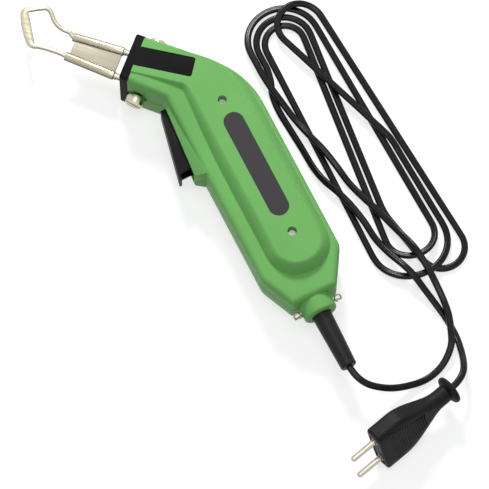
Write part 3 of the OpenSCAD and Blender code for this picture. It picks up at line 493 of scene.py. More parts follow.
def bevelled(obj, width_mm, segments, angle=30.0):
    m = obj.modifiers.new("edge", "BEVEL")
    m.width, m.segments, m.limit_method, m.angle_limit = width_mm * MM, segments, "ANGLE", radians(angle)
    clean(applied(obj), 40.0, outward=False)
    return obj


def lofted(name, rings, angle=35.0):
    """Closed solid through rings of equally many points."""
    n, last = len(rings[0]), len(rings) - 1
    faces = []
    for j in range(last):
        for i in range(n):
            k = (i + 1) % n
            faces.append((j * n + i, j * n + k, (j + 1) * n + k, (j + 1) * n + i))
    faces += [tuple(range(n))[::-1], tuple(last * n + i for i in range(n))]
    return new_mesh(name, [v for r in rings for v in r], faces, angle)


def prism(name, ring, low, high):
    return lofted(name, [level(ring, low), level(ring, high)])


def soft_prism(name, corners, low, high, edge):
    """Rounded plate whose edges at both faces are eased."""
    rings = []
    for c, s in map(heading, (0, 30, 60, 90)):
        rings.append(level(rounded_ring(corners, edge * (1 - s), 6), low + edge * (1 - c)))
    rings += [[(x, y, high + low - z) for x, y, z in r] for r in rings[::-1]]
    return lofted(name, rings)


def box(name, low, high):
    (x0, y0, z0), (x1, y1, z1) = low, high
    return prism(name, [(x0, y0), (x1, y0), (x1, y1), (x0, y1)], z0, z1)


def turned(name, profile, sides=48, start=0.0, sweep=360):
    """Solid of revolution about X from a closed profile of (x, radius)."""
    full = sweep == 360
    count, n = sides if full else sides + 1, len(profile)
    verts, faces = [], []
    for j in range(count):
        c, s = heading(start + sweep * j / sides)
        verts += [(x, r * c, r * s) for x, r in profile]
    for j in range(sides):
        k = (j + 1) % count
        for i in range(n):
            m = (i + 1) % n
            if profile[i][1] or profile[m][1]:
                faces.append((j * n + i, j * n + m, k * n + m, k * n + i))
    if not full:
        faces += [tuple(range(n)), tuple((count - 1) * n + i for i in range(n))[::-1]]
    obj = new_mesh(name, verts, faces)
    with editing(obj.data) as bm:
        bmesh.ops.dissolve_degenerate(bm, dist=1e-7, edges=bm.edges)
    clean(obj)
    return obj


def upright(obj, x, y, z=0.0):
    """Stands a turned solid on end, its X axis along Z."""
    return place(obj, shift(x, y, z) @ spin(-90, "Y"))


def swept(name, path, section, twist=None, scale=None, up=(0, 0, 1)):
    """Closed section carried along a path, with optional twist in radians and scale in both ways per ring."""
    t = np.gradient(path, axis=0)
    t /= np.linalg.norm(t, axis=1)[:, None]
    rings = []
    for i, p in enumerate(path):
        e = np.cross(np.array(up, float), t[i])
        e /= np.linalg.norm(e)
        f = np.cross(t[i], e)
        a = twist[i] if twist is not None else 0.0
        w, h = scale[i] if scale is not None else (1.0, 1.0)
        e2, f2 = e * cos(a) + f * sin(a), f * cos(a) - e * sin(a)
        rings.append([p + x * w * e2 + y * h * f2 for x, y in section])
    return lofted(name, rings, 50.0)


# Node tools
def feed(tree, node, inputs):
    """Sets a node's inputs, each to a value, to the socket that feeds it or to another node's first output."""
    for key, value in inputs.items():
        if isinstance(value, bpy.types.Node):
            value = value.outputs[0]
        if isinstance(value, bpy.types.NodeSocket):
            tree.links.new(value, node.inputs[key])
        else:
            node.inputs[key].default_value = value
    return node


def add(tree, kind, inputs=None, **settings):
    node = tree.nodes.new(kind)
    for key, value in settings.items():
        setattr(node, key, value)
    return feed(tree, node, inputs or {})


def maths(tree, operation, a, b):
    return add(tree, "ShaderNodeMath", {0: a, 1: b}, operation=operation)


def new_group(name, inputs, outputs):
    group = bpy.data.node_groups.new(name, "ShaderNodeTree")
    for label, value in inputs.items():
        group.interface.new_socket(label, in_out="INPUT", socket_type="NodeSocketFloat").default_value = value
    for label in outputs:
        group.interface.new_socket(label, in_out="OUTPUT", socket_type="NodeSocketFloat")
    return group, group.nodes.new("NodeGroupInput").outputs, group.nodes.new("NodeGroupOutput")


def noise(tree, where, scale, detail, rough=0.5):
    return add(tree, "ShaderNodeTexNoise", {"Vector": where, "Scale": scale, "Detail": detail,
                                            "Roughness": rough})


def ranged(tree, value, low, high, from_low=0.3, from_high=0.7):
    return add(tree, "ShaderNodeMapRange", {"Value": value, "From Min": from_low, "From Max": from_high,
                                            "To Min": low, "To Max": high})


def mixed(tree, factor, a, b):
    """Mix of two colours, each given as three numbers or as a socket."""
    a, b = (v if isinstance(v, bpy.types.NodeSocket) else (*v, 1.0) for v in (a, b))
    return add(tree, "ShaderNodeMix", {0: factor, 6: a, 7: b}, data_type="RGBA").outputs[2]


def bumped(tree, height, distance_mm, strength):
    return add(tree, "ShaderNodeBump", {"Strength": strength, "Distance": distance_mm * MM, "Height": height})


def local(tree, kind="Object"):
    return add(tree, "ShaderNodeTexCoord").outputs[kind]


def grain_group():
    """Moulded surface: slow tone drift, fine grain and sparse scuffs."""
    group, enter, leave = new_group("moulded_grain", {"Grain Scale": 1800.0, "Drift Scale": 22.0, "Scuff": 0.3},
                                    ["Tone", "Grain", "Scuffs"])
    where = local(group)
    scratches = ranged(group, noise(group, where, 90.0, 6.0, 0.75), 0, 1, 0.6, 0.74)
    feed(group, leave, {"Tone": noise(group, where, enter["Drift Scale"], 3.0),
                        "Grain": noise(group, where, enter["Grain Scale"], 2.0),
                        "Scuffs": maths(group, "MULTIPLY", scratches, enter["Scuff"])})
    return group


def brush_group():
    """Drawn or brushed metal: fine lines along X, turned in the ground plane, with slow patches of tarnish."""
    group, enter, leave = new_group("drawn_metal", {"Turn": 0.0, "Line Scale": 2600.0, "Patch Scale": 120.0},
                                    ["Lines", "Tarnish"])
    where = local(group)
    turn = add(group, "ShaderNodeVectorRotate", {"Vector": where, "Angle": enter["Turn"]},
               rotation_type="Z_AXIS")
    squeeze = add(group, "ShaderNodeVectorMath", {0: turn, 1: (0.02, 1.0, 1.0)}, operation="MULTIPLY")
    feed(group, leave, {"Lines": noise(group, squeeze, enter["Line Scale"], 3.0),
                        "Tarnish": noise(group, where, enter["Patch Scale"], 4.0)})
    return group


def painted_side_shade_group():
    """Mask of painted shade: one on upright faces, falling to nothing on faces that look straight up or down."""
    group, enter, leave = new_group("painted_side_shade", {"Upright": 0.25, "Level": 0.95}, ["Side"])
    split = add(group, "ShaderNodeSeparateXYZ", {"Vector": local(group, "Normal")})
    rise = maths(group, "ABSOLUTE", split.outputs["Z"], 0.0)
    feed(group, leave, {"Side": ranged(group, rise, 1, 0, enter["Upright"], enter["Level"])})
    return group


def grouped(tree, name, build, inputs):
    """Outputs of a shared group, which is built on first use."""
    group = bpy.data.node_groups.get(name) or build()
    return add(tree, "ShaderNodeGroup", inputs, node_tree=group).outputs


# Finishes
def new_finish(name):
    mat = FINISHES[name] = bpy.data.materials.new(name + "_finish")
    mat.use_nodes = True
    return mat.node_tree, mat.node_tree.nodes["Principled BSDF"]


def moulded(name, rgb, rough, grain, bump, drift, scuff, specular):
    """Moulded plastic or rubber with grain, tone drift and faint scuffs."""
    tree, skin = new_finish(name)
    g = grouped(tree, "moulded_grain", grain_group, {"Grain Scale": grain, "Scuff": scuff})
    base = mixed(tree, ranged(tree, g["Tone"], 0, 1), rgb * (1 - drift), np.minimum(rgb * (1 + drift), 1))
    feed(tree, skin, {"Base Color": mixed(tree, g["Scuffs"], base, np.minimum(rgb * 1.25 + 0.015, 1)),
                      "Roughness": ranged(tree, g["Grain"], rough - 0.05, rough + 0.07),
                      "Normal": bumped(tree, g["Grain"], 0.05, bump), "Specular IOR Level": specular})


def drawn(name, rgb, rough, turn, lines, bump, dark, rounded=False, metallic=1.0, streak=0.0):
    """Bare or plated metal with drawn lines and slight tarnish. A rounded one that lies level gets painted shade
    at its sides."""
    tree, skin = new_finish(name)
    g = grouped(tree, "drawn_metal", brush_group, {"Turn": radians(turn), "Line Scale": lines})
    base = mixed(tree, ranged(tree, g["Tarnish"], 0, 1), rgb, rgb * dark * TARNISH)
    if streak:
        base = mixed(tree, ranged(tree, g["Lines"], 0, streak), base, rgb * 0.5)
    # Painted shade: upright faces of a round metal get a darker base colour.
    if rounded:
        side = grouped(tree, "painted_side_shade", painted_side_shade_group, {})["Side"]
        base = mixed(tree, side, base, rgb * PAINTED_SIDE_TONE)
    feed(tree, skin, {"Base Color": base, "Metallic": metallic,
                      "Roughness": ranged(tree, g["Lines"], max(rough - 0.08, 0.03), rough + 0.1),
                      "Normal": bumped(tree, g["Lines"], 0.03, bump)})


def striped(name, rgb, dark, pitch_mm, axis, rough, metallic):
    """Stacked sheets or wound wire: fine stripes across one axis."""
    tree, skin = new_finish(name)
    wave = add(tree, "ShaderNodeTexWave", {"Vector": local(tree), "Scale": WAVE_TURN / (pitch_mm * MM),
                                           "Distortion": 0.4, "Detail": 1.0}, bands_direction=axis).outputs["Fac"]
    feed(tree, skin, {"Base Color": mixed(tree, wave, dark, rgb), "Metallic": metallic,
                      "Roughness": ranged(tree, wave, rough + 0.1, rough, 0, 1),
                      "Normal": bumped(tree, wave, 0.15, 0.5)})


def finishes():
    """All finishes by name, made on first use."""
    if "casing_green" not in FINISHES:
        colours = bpy.context.scene.hot_knife_finish
        for make, rows in ((moulded, PLASTICS), (drawn, METALS), (striped, STACKS)):
            for name, (rgb, share, *look) in rows.items():
                rgb = getattr(colours, rgb) if isinstance(rgb, str) else rgb
                make(name, np.array(rgb) * share, *look)
    return FINISHES


def dress(obj, finish, body, slot, *nodes):
    """Gives a piece its finish, its body and the nodes that it stands for. Its slot is not used."""
    obj.data.materials.clear()
    obj.data.materials.append(finishes()[finish])
    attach(obj, body)
    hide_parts(*nodes)


def paint(node, finish):
    """Gives a carried-over node a finish on its own object."""
    obj = frame["nodes"][node]
    for holder in [obj, *obj.children_recursive]:
        if holder.type == "MESH":
            if not holder.material_slots:
                holder.data.materials.append(None)
            for s in holder.material_slots:
                s.link = "OBJECT"
                s.material = finishes()[finish]


# Casing halves
def stretched(corners):
    """Corners, with the two at the nose moved forward so that no edge is rounded where the front plate sits."""
    push = spun((NOSE_AHEAD, 0), NOSE_ANGLE)
    return [(x + push[0], y + push[1], r) if i < 2 else (x, y, r) for i, (x, y, r) in enumerate(corners)]


def half_height(points, rings, s, wall=0.0):
    """Height of a half's surface above the parting plane: rounded shoulder, sloped panel and soft lines. With a
    wall it is the roof of the cavity."""
    edge, run, shoulder, top, valley = (v / MM for v in (s.edge, s.slope, s.shoulder, s.top, s.valley))
    d, df, dp = (depth_in(points, r) - wall for r in rings)
    share = np.where(dp > 0, 1 + dp / run, np.where(df < 0, df / run, df / np.maximum(df - dp, 1e-6)))
    if wall:
        base = shoulder - wall - np.clip(ROOF_EDGE - d, 0, ROOF_EDGE)
        return np.maximum(base, np.minimum(shoulder - wall + (top - shoulder) * share, top - wall))
    u = (points - np.array(NOSE_AT)) @ heading(NOSE_ANGLE)
    brow = NOSE_RISE * smooth_step(1 + (u - FRONT_U) / BROW_LEN)
    base = shoulder + brow - edge + np.sqrt(np.maximum(edge**2 - (edge - np.clip(d, 0, edge)) ** 2, 0))
    swell = np.where(share < 0, s.swell * share, 1 - (1 - np.clip(share, 0, 1)) ** s.swell)
    return soft_max(base, shoulder + (top - shoulder) * swell, valley)


def flat_mesh(outer, lines, pitch):
    """Flat mesh inside an outline, with edges along the lines and a filling grid: points, faces and outline."""
    pts, edges = [], []

    def lay(ring, inside):
        index = {}
        for i, p in enumerate(ring):
            if inside[i]:
                index[i] = len(pts)
                pts.append(p)
        for i in range(len(ring)):
            j = (i + 1) % len(ring)
            if i in index and j in index:
                edges.append((index[i], index[j]))

    lay(outer, [True] * len(outer))
    for ring in lines:
        lay(ring, depth_in(ring, outer) > 0.1)
    known = np.array(pts)
    gx, gy = np.meshgrid(*(np.arange(low, high, pitch) for low, high in zip(outer.min(0), outer.max(0))))
    grid = np.stack([gx.ravel(), gy.ravel()], 1)
    grid = grid[depth_in(grid, outer) > pitch * 0.4]
    far = np.array([np.min(((known - g) ** 2).sum(1)) > (pitch * 0.45) ** 2 for g in grid])
    pts += list(grid[far])
    flat = [Vector((float(x), float(y))) for x, y in pts]
    rim = list(range(len(outer)))
    rim_edges = list(zip(rim, rim[1:] + rim[:1]))
    verts, _, faces, origins, _, _ = delaunay_2d_cdt(flat, rim_edges + edges, [tuple(rim)], 1, 1e-5)
    seat = {old: new for new, olds in enumerate(origins) for old in olds}
    return np.array([[v.x, v.y] for v in verts]), faces, [seat[i] for i in rim]


def half_shell(name, s):
    """Closed wall of the upper half, standing on the parting plane, before its holes are cut."""
    wall, groove = s.wall / MM, s.groove / MM
    plain = CASING_CORNERS, FOOT_CORNERS, PANEL_CORNERS
    casing, foot, panel = map(stretched, plain)
    outer, inner = rounded_ring(casing, 0, 8, PITCH), rounded_ring(CASING_CORNERS, wall, 8, PITCH, casing)
    a, b = (rounded_ring(c, 0, 10, PITCH, foot) for c in (foot, panel))
    lines = [rounded_ring(casing, d, 8, PITCH) for d in EDGE_INSETS] + [lerp(a, b, t) for t in SLOPE_SHARES]
    flat, faces, rim = flat_mesh(outer, lines, 3.2)
    roof_line = rounded_ring(CASING_CORNERS, wall + ROOF_EDGE, 4, 8.0)
    roof_flat, roof_faces, roof_rim = flat_mesh(inner, [roof_line], 3.5)
    top = half_height(flat, [rounded_ring(c, 0, 12) for c in (casing, foot, panel)], s)
    under = half_height(roof_flat, [rounded_ring(c, 0, 12) for c in plain], s, wall)
    verts = [(*p, h) for p, h in zip(flat, top)]
    chain = [rim]
    for ring, z in ((outer, groove), (rounded_ring(casing, groove, 8, PITCH), 0), (inner, 0)):
        chain.append(range(len(verts), len(verts) + len(ring)))
        verts += level(ring, z)
    roof = len(verts)
    chain.append([roof + i for i in roof_rim])
    verts += [(*p, h) for p, h in zip(roof_flat, under)]
    faces = list(faces) + [tuple(roof + i for i in f)[::-1] for f in roof_faces]
    for i in range(len(outer)):
        j = (i + 1) % len(outer)
        faces += [(low[i], low[j], high[j], high[i]) for high, low in zip(chain, chain[1:])]
    return new_mesh(name, verts, faces)


def across(name, side, profile, z=0.0):
    """Turned solid across the nose at a clamp screw."""
    sides = 40
    return place(turned(name, profile, sides, 180 / sides), in_nose(CLAMP_U, skew=90 * side, z=z))


def tab_corners(grow, ahead):
    half, back = TAB_HALF + grow, -TAB_LONG - grow
    return [(ahead, -half, 0.2), (ahead, half, 0.2), (back, half, 1.6), (back, -half, 1.6)]


def half_cuts(s):
    """Tools for the openings that both halves share, in a half's own height."""
    wall, top = s.wall / MM, s.top / MM
    at_front = in_nose(FRONT_U, z=0)
    spigot_v, spigot_z = (half + 0.1 for half in SPIGOT_HALF)
    seat, far, hole_r, wide_r = CLAMP_FACE - 1.5, CLAMP_FACE + 28.5, CLAMP_HOLE_R, 7
    recess = [(TUBE_V, 0), (TUBE_V, hole_r), (seat, hole_r), (seat, wide_r), (far, wide_r), (far, 0)]
    return [place(box("front", (0, -60, -30), (40, 60, 40)), at_front),
            box("slot", (SLOT_LOW, GRIP_HALF - wall - 1, -1), (SLOT_HIGH, 40, SLOT_HALF)),
            place(turned("bore", rod(-96, -88, BORE_R), 40), shift(0, COLLAR_Y)),
            place(box("mouth", (-wall - 1, -spigot_v, -1), (1, spigot_v, spigot_z)), at_front),
            place(prism("tab", rounded_ring(tab_corners(0.1, 8), 0, 5), top - wall - 1, top + 1), in_tab()),
            *(across("recess", side, recess) for side in (-1, 1))]


def trigger_pad():
    """Raised land round the trigger's slot, with its sloped top and lower end."""
    high, foot_y = 13, 26.6
    side = [(11.5, foot_y), (69.1, foot_y), (70.37, 30.1), (14.2, 34.2), (11.5, GRIP_HALF)]
    pad = prism("pad", side, 0, high)
    cut(pad, [place(box("slant", (0, -20, 0), (90, 40, 30)), shift(0, 27.2, high) @ spin(-33, "X"))])
    bevelled(pad, 0.5, 3)
    return cut(pad, [box("under", (0, 20, -5), (90, 40, 0)),
                     box("slot", (SLOT_LOW, 20, -6), (SLOT_HIGH, 40, SLOT_HALF))])


def collar_half():
    """Half of the collar that holds the strain relief, with a rounded rim."""
    root, rim = -92.5, 2.2
    profile = [(root, COLLAR_R), (root, BORE_R), (COLLAR_END + 0.4, BORE_R), (COLLAR_END, BORE_R + 0.4)]
    for c, s in map(heading, range(90, -1, -15)):
        profile.append((COLLAR_END + rim * (1 - s), COLLAR_R - rim * (1 - c)))
    return place(turned("collar", profile, 40, 0, 180), shift(0, COLLAR_Y))


def casing_half(name, upper, s):
    shell, tools, top = half_shell(name, s), half_cuts(s), s.top / MM
    if upper:
        label = rectangle(39.1, -9.8, 3.8, 6.79)
        tools.append(prism("label", rounded_ring(label, 0, 12), top - 0.5, top + 2))
        tools += [upright(turned("hole", rod(0, 6, 3.0), 40), x, y, top - 4) for x, y in SCREW_PLACES]
    parts = [cut(shell, tools), trigger_pad(), collar_half()]
    roof, (bore, deep) = top - 1.2, (3.0, 8) if upper else (0, 7)
    boss = [(0, 1.6), (0, 4.5), (roof, 4.5), (roof, bore), (top - deep, bore), (top - deep, 1.6)]
    parts += [upright(turned("boss", boss, 32), x, y) for x, y in SCREW_PLACES]
    post = [(0, 0), (0, 1.3), (6.02, 1.3), (6.02, 3), (12, 3), (12, 0)]
    parts += [upright(turned("post", post, 24), x, 16.3) for x in (30, 46)]
    if not upper:
        post = [(0, 1.4), (0, 3.5), (12, 3.5), (12, 0), (9, 0), (9, 1.4)]
        parts += [upright(turned("clamp_post", post, 24), -80, COLLAR_Y + side * 9) for side in (-1, 1)]
    half = join(name, parts)
    half.data.transform(shift(z=ZM) @ Matrix.Diagonal((1, 1, 1 if upper else -1, 1)))
    if not upper:
        half.data.flip_normals()
    smoothed(half.data, 32)
    dress(half, "casing_green", "housing", "green_plastic", "upper_casing" if upper else "lower_casing")


class HOTKNIFE_OT_casing(bpy.types.Operator):
    """Moulds both casing halves with their panel, trigger land, collar and holes"""
    bl_idname = "hotknife.casing"
    bl_label = "Casing Halves"

    def execute(self, context):
        casing_half("upper_shell", True, context.scene.hot_knife_casing)
        casing_half("lower_shell", False, context.scene.hot_knife_casing)
        return {"FINISHED"}


# Nose plate and trigger
class HOTKNIFE_OT_nose(bpy.types.Operator):
    """Makes the black front plate with its inlaid tabs and the spigot behind it"""
    bl_idname = "hotknife.nose"
    bl_label = "Nose Plate"

    def execute(self, context):
        face_v, face_z, neck_r, (spigot_v, spigot_z), pocket_v, pocket_z = 16.5, 21, 2.2, SPIGOT_HALF, 4.1, 5.1
        face = rectangle(face_v, -face_z, face_z, 2.0)
        stack = [(FRONT_U, 0.0), (-1.1, 0.0), (-0.55, 0.15), (-0.15, 0.55), (0.0, 1.1)]
        plate = lofted("plate", [[(u, *p) for p in rounded_ring(face, inset, 6)] for u, inset in stack])
        place(plate, in_nose())
        cut(plate, [place(turned("neck", rod(-9, 3, neck_r), 32), in_nose(v=v)) for v in (-TUBE_V, TUBE_V)])
        for low in (0.5, 40.5):
            tab = soft_prism("tab", tab_corners(0.0, 3.0), low, low + 2.0, 0.3)
            cut(plate, [place(tab, in_tab())], "UNION")
        spigot = place(box("spigot", (-18, -spigot_v, -spigot_z), (-4, spigot_v, spigot_z)), in_nose())
        tools = [place(box("pocket", (-20, v - pocket_v, -pocket_z), (-5.9, v + pocket_v, pocket_z)), in_nose())
                 for v in (-TUBE_V, TUBE_V)]
        tools += [across("hole", side, rod(TUBE_V, TUBE_V + 30, CLAMP_HOLE_R), ZM) for side in (-1, 1)]
        nose = join("nose_plate", [plate, cut(spigot, tools)])
        clean(nose, 38.0, outward=False)
        dress(nose, "nose_black", "housing", "black_plastic", "nose_insert")
        return {"FINISHED"}


class HOTKNIFE_OT_trigger(bpy.types.Operator):
    """Makes the channel-shaped trigger lever with its lip and eased edges"""
    bl_idname = "hotknife.trigger"
    bl_label = "Trigger"

    def execute(self, context):
        start, low, high, half, thick, round_r = 14.5, 44.5, 34.0, 7, 2, 3.4
        hinge, pin_y = HINGE_AT
        run = hinge + round_r - start

        def face(x, under=0):
            return x, low + (high - low) * (x - start) / run - under

        tip, end = start + 2.8, start + 6.0
        side = [face(tip), face(tip, thick), face(end, thick), (end + 0.6, 26.75), (hinge, pin_y - round_r),
                (hinge + round_r, pin_y), face(hinge + round_r)]
        push_low, push_high, push_y, back = 36, 40, 26.9, hinge - round_r
        inner = [face(12, thick), (12, 20), (back, 20), face(back, thick), face(push_high, thick),
                 (push_high, push_y), (push_low, push_y), face(push_low, thick)]
        lever = prism("trigger_lever", side, ZM - half, ZM + half)
        channel = prism("inner", inner, ZM - half + thick, ZM + half - thick)
        cut(lever, [channel, upright(turned("pin", rod(0, 50, 1.6), 32), hinge, pin_y)])
        stitched(bevelled(lever, 0.45, 3))
        dress(lever, "trigger_black", "trigger", "black_plastic", "trigger")
        return {"FINISHED"}


# Rows of copies, grown by nodes
def grown(name, finish, sizes, build):
    """Object grown by a node tree with named sizes, which ends in realized instances and a material."""
    tree = bpy.data.node_groups.new(name + "_rows", "GeometryNodeTree")
    tree.interface.new_socket("Geometry", in_out="OUTPUT", socket_type="NodeSocketGeometry")
    kinds = {int: "NodeSocketInt", float: "NodeSocketFloat", tuple: "NodeSocketVector"}
    values = {}
    for label, value in sizes.items():
        socket = tree.interface.new_socket(label, in_out="INPUT", socket_type=kinds[type(value)])
        values[socket.identifier] = value
    enter, leave = tree.nodes.new("NodeGroupInput"), tree.nodes.new("NodeGroupOutput")
    real = add(tree, "GeometryNodeRealizeInstances", {"Geometry": build(tree, enter.outputs)})
    done = add(tree, "GeometryNodeSetMaterial", {"Geometry": real, "Material": finishes()[finish]})
    feed(tree, leave, {"Geometry": done})
    obj = shown(name, bpy.data.meshes.new(name))
    grow = obj.modifiers.new("grow", "NODES")
    grow.node_group = tree
    for key, value in values.items():
        grow[key] = value
    return applied(obj)


def cylinder(tree, vertices, radius, depth):
    return add(tree, "GeometryNodeMeshCylinder", {"Vertices": vertices, "Radius": radius, "Depth": depth})


def moved(tree, piece, **how):
    return add(tree, "GeometryNodeTransform", {"Geometry": piece, **how})


def copies(tree, piece, count, first, last, **how):
    """Copies of a piece along a line between two places."""
    line = add(tree, "GeometryNodeMeshLine", {"Count": count, "Start Location": first, "Offset": last},
               mode="END_POINTS")
    return add(tree, "GeometryNodeInstanceOnPoints", {"Points": line, "Instance": piece, **how})


def screw_row(tree, sizes):
    """Slotted screws at the two ends of a line."""
    head = cylinder(tree, 32, sizes["Head Radius"], sizes["Head Height"])
    shank = cylinder(tree, 20, sizes["Shank Radius"], sizes["Shank Length"])
    bit = moved(tree, add(tree, "GeometryNodeMeshCube", {"Size": sizes["Slot"]}), Translation=sizes["Slot At"])
    screw = add(tree, "GeometryNodeJoinGeometry")
    for part in (add(tree, "GeometryNodeMeshBoolean", {"Mesh 1": head, "Mesh 2": bit}, operation="DIFFERENCE"),
                 moved(tree, shank, Translation=sizes["Shank At"])):
        feed(tree, screw, {"Geometry": part})
    return copies(tree, screw, 2, sizes["First"], sizes["Last"], Rotation=(0, 0, radians(SLOT_TURN)))


def rib_rows(tree, sizes):
    """Straight ribs across both broad faces, growing longer towards the pins."""
    rib = moved(tree, cylinder(tree, 10, sizes["Rib Radius"], 1.0), Rotation=(radians(90), 0, 0))
    where = add(tree, "ShaderNodeSeparateXYZ", {"Vector": add(tree, "GeometryNodeInputPosition")})
    span = ranged(tree, where.outputs["X"], sizes["Short"], sizes["Long"], sizes["First"], sizes["Last"])
    size = add(tree, "ShaderNodeCombineXYZ", {"X": 1.0, "Y": span, "Z": 1.0})
    rows = add(tree, "GeometryNodeJoinGeometry")
    for sign in (-1, 1):
        lift = maths(tree, "MULTIPLY", sizes["Face Height"], sign)
        ends = (add(tree, "ShaderNodeCombineXYZ", {"X": sizes[end], "Z": lift}) for end in ("First", "Last"))
        feed(tree, rows, {"Geometry": copies(tree, rib, sizes["Count"], *ends, Scale=size)})
    return rows


# Screws
class HOTKNIFE_OT_screws(bpy.types.Operator):
    """Sets the two casing screws in their holes and makes the two slotted clamp screws of the nose"""
    bl_idname = "hotknife.screws"
    bl_label = "Screws"

    def execute(self, context):
        high, long = 2.6, 26
        first, last = (tuple(Vector((x, y, SCREW_SEAT + high / 2)) * MM) for x, y in SCREW_PLACES)
        row = grown("casing_screw_pair", "screw_dark", {
            "First": first, "Last": last, "Head Radius": 2.7 * MM, "Head Height": high * MM,
            "Shank Radius": 1.5 * MM, "Shank Length": long * MM,
            "Shank At": (0.0, 0.0, -(high + long) / 2 * MM),
            "Slot": (8 * MM, 0.9 * MM, 1.4 * MM), "Slot At": (0.0, 0.0, high / 2 * MM)}, screw_row)
        clean(row)
        dress(row, "screw_dark", "housing", "steel", "casing_screws")
        tip, seat, shank_r, head_r = TUBE_V + 2.1, CLAMP_FACE + 1.2, 2.0, 6.0
        face = seat + 5.5
        profile = [(tip, 0), (tip, shank_r - 0.5), (tip + 0.5, shank_r), (seat, shank_r), (seat, head_r - 0.4),
                   (seat + 0.4, head_r), (face - 0.9, head_r), (face - 0.3, head_r - 0.3), (face, head_r - 1),
                   (face, 0)]
        for side, word in NOSE_SIDES:
            screw = turned(word + "_clamp_head", profile)
            cut(screw, [place(box("slit", (face - 2, -0.8, -8), (face + 1.5, 0.8, 8)), spin(58, "X"))])
            place(screw, in_nose(CLAMP_U, skew=90 * side))
            bevelled(screw, 0.12, 2, 60)
            dress(screw, "screw_nickel", word + "_clamp", "steel", word + "_clamp_screw")
        return {"FINISHED"}


# Blade cartridge
class HOTKNIFE_OT_cartridge(bpy.types.Operator):
    """Makes the contact tubes with their necks, the brushed web plate and the bent blade wire"""
    bl_idname = "hotknife.cartridge"
    bl_label = "Blade Cartridge"

    def execute(self, context):
        start, long, lean, tube_r, neck_r, bore_r, deep = 6.5, 35.0, 3.0, 3.0, 2.0, 1.62, 7
        profile = [(0, 1.9), (0, tube_r - 0.4), (0.35, tube_r), (long - 0.5, tube_r), (long, tube_r - 0.25),
                   (long, bore_r), (long - deep, bore_r), (long - deep, 0), (2, 0), (2, 1.9)]
        back, bead_r = -27, neck_r + 0.35
        ring = [(back, 0), (back, neck_r - 0.4), (back + 0.4, neck_r), (start - 1.6, neck_r),
                (start - 1.5, bead_r), (start - 0.4, bead_r), (start - 0.3, neck_r), (start + 0.8, neck_r),
                (start + 0.8, 0)]
        for side, word in NOSE_SIDES:
            tube = place(turned("tube", profile), in_nose(start, side * TUBE_V, -side * lean))
            neck = place(turned("neck", ring, 40), in_nose(0, side * TUBE_V))
            piece = join(word + "_tube", [tube, neck])
            clean(piece, 30.0, outward=False)
            dress(piece, "plated_silver", "blade_cartridge", "tube_metal", word + "_contact_tube")
        along, aside = heading(lean)
        far, inner, web_low, web_high = TUBE_V - long * aside, 2.75, start + 0.4, start + long - 2.2
        web = [(web_low, -TUBE_V + inner, 0.2), (web_high, -far + inner, 0.2), (web_high, far - inner, 0.2),
               (web_low, TUBE_V - inner, 0.2)]
        plate = place(soft_prism("web_plate", web, -0.8, 0.8, 0.18), in_nose())
        dress(plate, "web_brushed", "blade_cartridge", "web_metal", "spacer_plate")
        front = start + long * along
        root = front - deep * along, far + deep * aside
        rows = [(root[0], -root[1], 0, 1, 1), (front, -far, 0, 1, 1)]
        rows += [(front + a * BLADE_REACH, b * BLADE_SPAN, 0, w, t) for a, b, w, t in BLADE]
        rows += [(front, far, 0, 1, 1), (*root, 0, 1, 1)]
        path = catmull(rows, 0.7)
        wire = place(swept("blade_loop", path[:, :3], circle(WIRE_R, 20), scale=path[:, 3:5]), in_nose())
        dress(wire, "blade_drawn", "blade_cartridge", "blade_steel", "blade_wire")
        return {"FINISHED"}


# Cord, relief, plug and clip
def hank_route():
    """Loose hank as arcs round its bends and straight runs between them."""
    def run_angle(a, b):
        d = np.subtract(b[:2], a[:2])
        return math.degrees(math.atan2(d[1], d[0]) - math.asin((b[2] - a[2]) / np.linalg.norm(d)))

    def touch(c, angle):
        return np.array(c[:2]) - c[2] * left(heading(angle))

    def rise(c, t):
        return lerp(c[3], c[4], smooth_step(2 * t)) if t < 0.5 else lerp(c[4], c[5], smooth_step(2 * t - 1))

    last = len(HANK) - 1
    angles = [run_angle(a, b) for a, b in zip(HANK, HANK[1:])]
    route = []
    for i, c in enumerate(HANK):
        if i in (0, last):
            route.append((c[0], c[1], c[3]))
        else:
            d = angles[i] - angles[i - 1]
            arc = d - 360 * (math.floor(d / 360) if c[2] > 0 else math.ceil(d / 360))
            count = max(1, math.ceil(abs(arc) / 15))
            for k in range(count + 1):
                route.append((*touch(c, angles[i - 1] + arc * k / count), rise(c, k / count)))
        if i < last:
            a, b, z = touch(c, angles[i]), touch(HANK[i + 1], angles[i]), HANK[i + 1][3]
            for k in range(1, 6):
                route.append((*lerp(a, b, k / 6), lerp(c[5], z, smooth_step(k / 6))))
    return route


def eased(path, half):
    """Running mean of a path with soft weights over some points on each side. Its two ends stay in place."""
    weights = np.hanning(2 * half + 3)[1:-1]
    padded = np.concatenate([2 * path[:1] - path[half:0:-1], path, 2 * path[-1:] - path[-2:-half - 2:-1]])
    return np.stack([np.convolve(c, weights / weights.sum(), "valid") for c in padded.T], axis=1)


def away_from_ends(run, reach):
    """Nothing at both ends of a run, rising to one within the reach."""
    return smooth_step(run / reach) * smooth_step((run[-1] - run) / reach)


def cord_route(step):
    """Cord's middle line: heights eased all along, and its place on the floor only near the two ends."""
    points = np.array([(x, y, FLOOR_Z + z * LEVEL) for x, y, z in [*LEAD, *hank_route(), *TAIL]])
    path = catmull(points, step)
    free = smooth_step((path[:, 2] - FREE_FROM) / FREE_OVER)
    path[:, 2] = (1 - free) * (CORD_LOW + (path[:, 2] - FLOOR_Z) * CROSS_SHARE) + free * path[:, 2]
    ends = 1 - away_from_ends(np.arange(len(path)) * step, EASE_ENDS)
    share = np.stack([ends, ends, np.ones(len(path))], axis=1)
    return lerp(path, eased(path, round(EASE_REACH / step)), share)


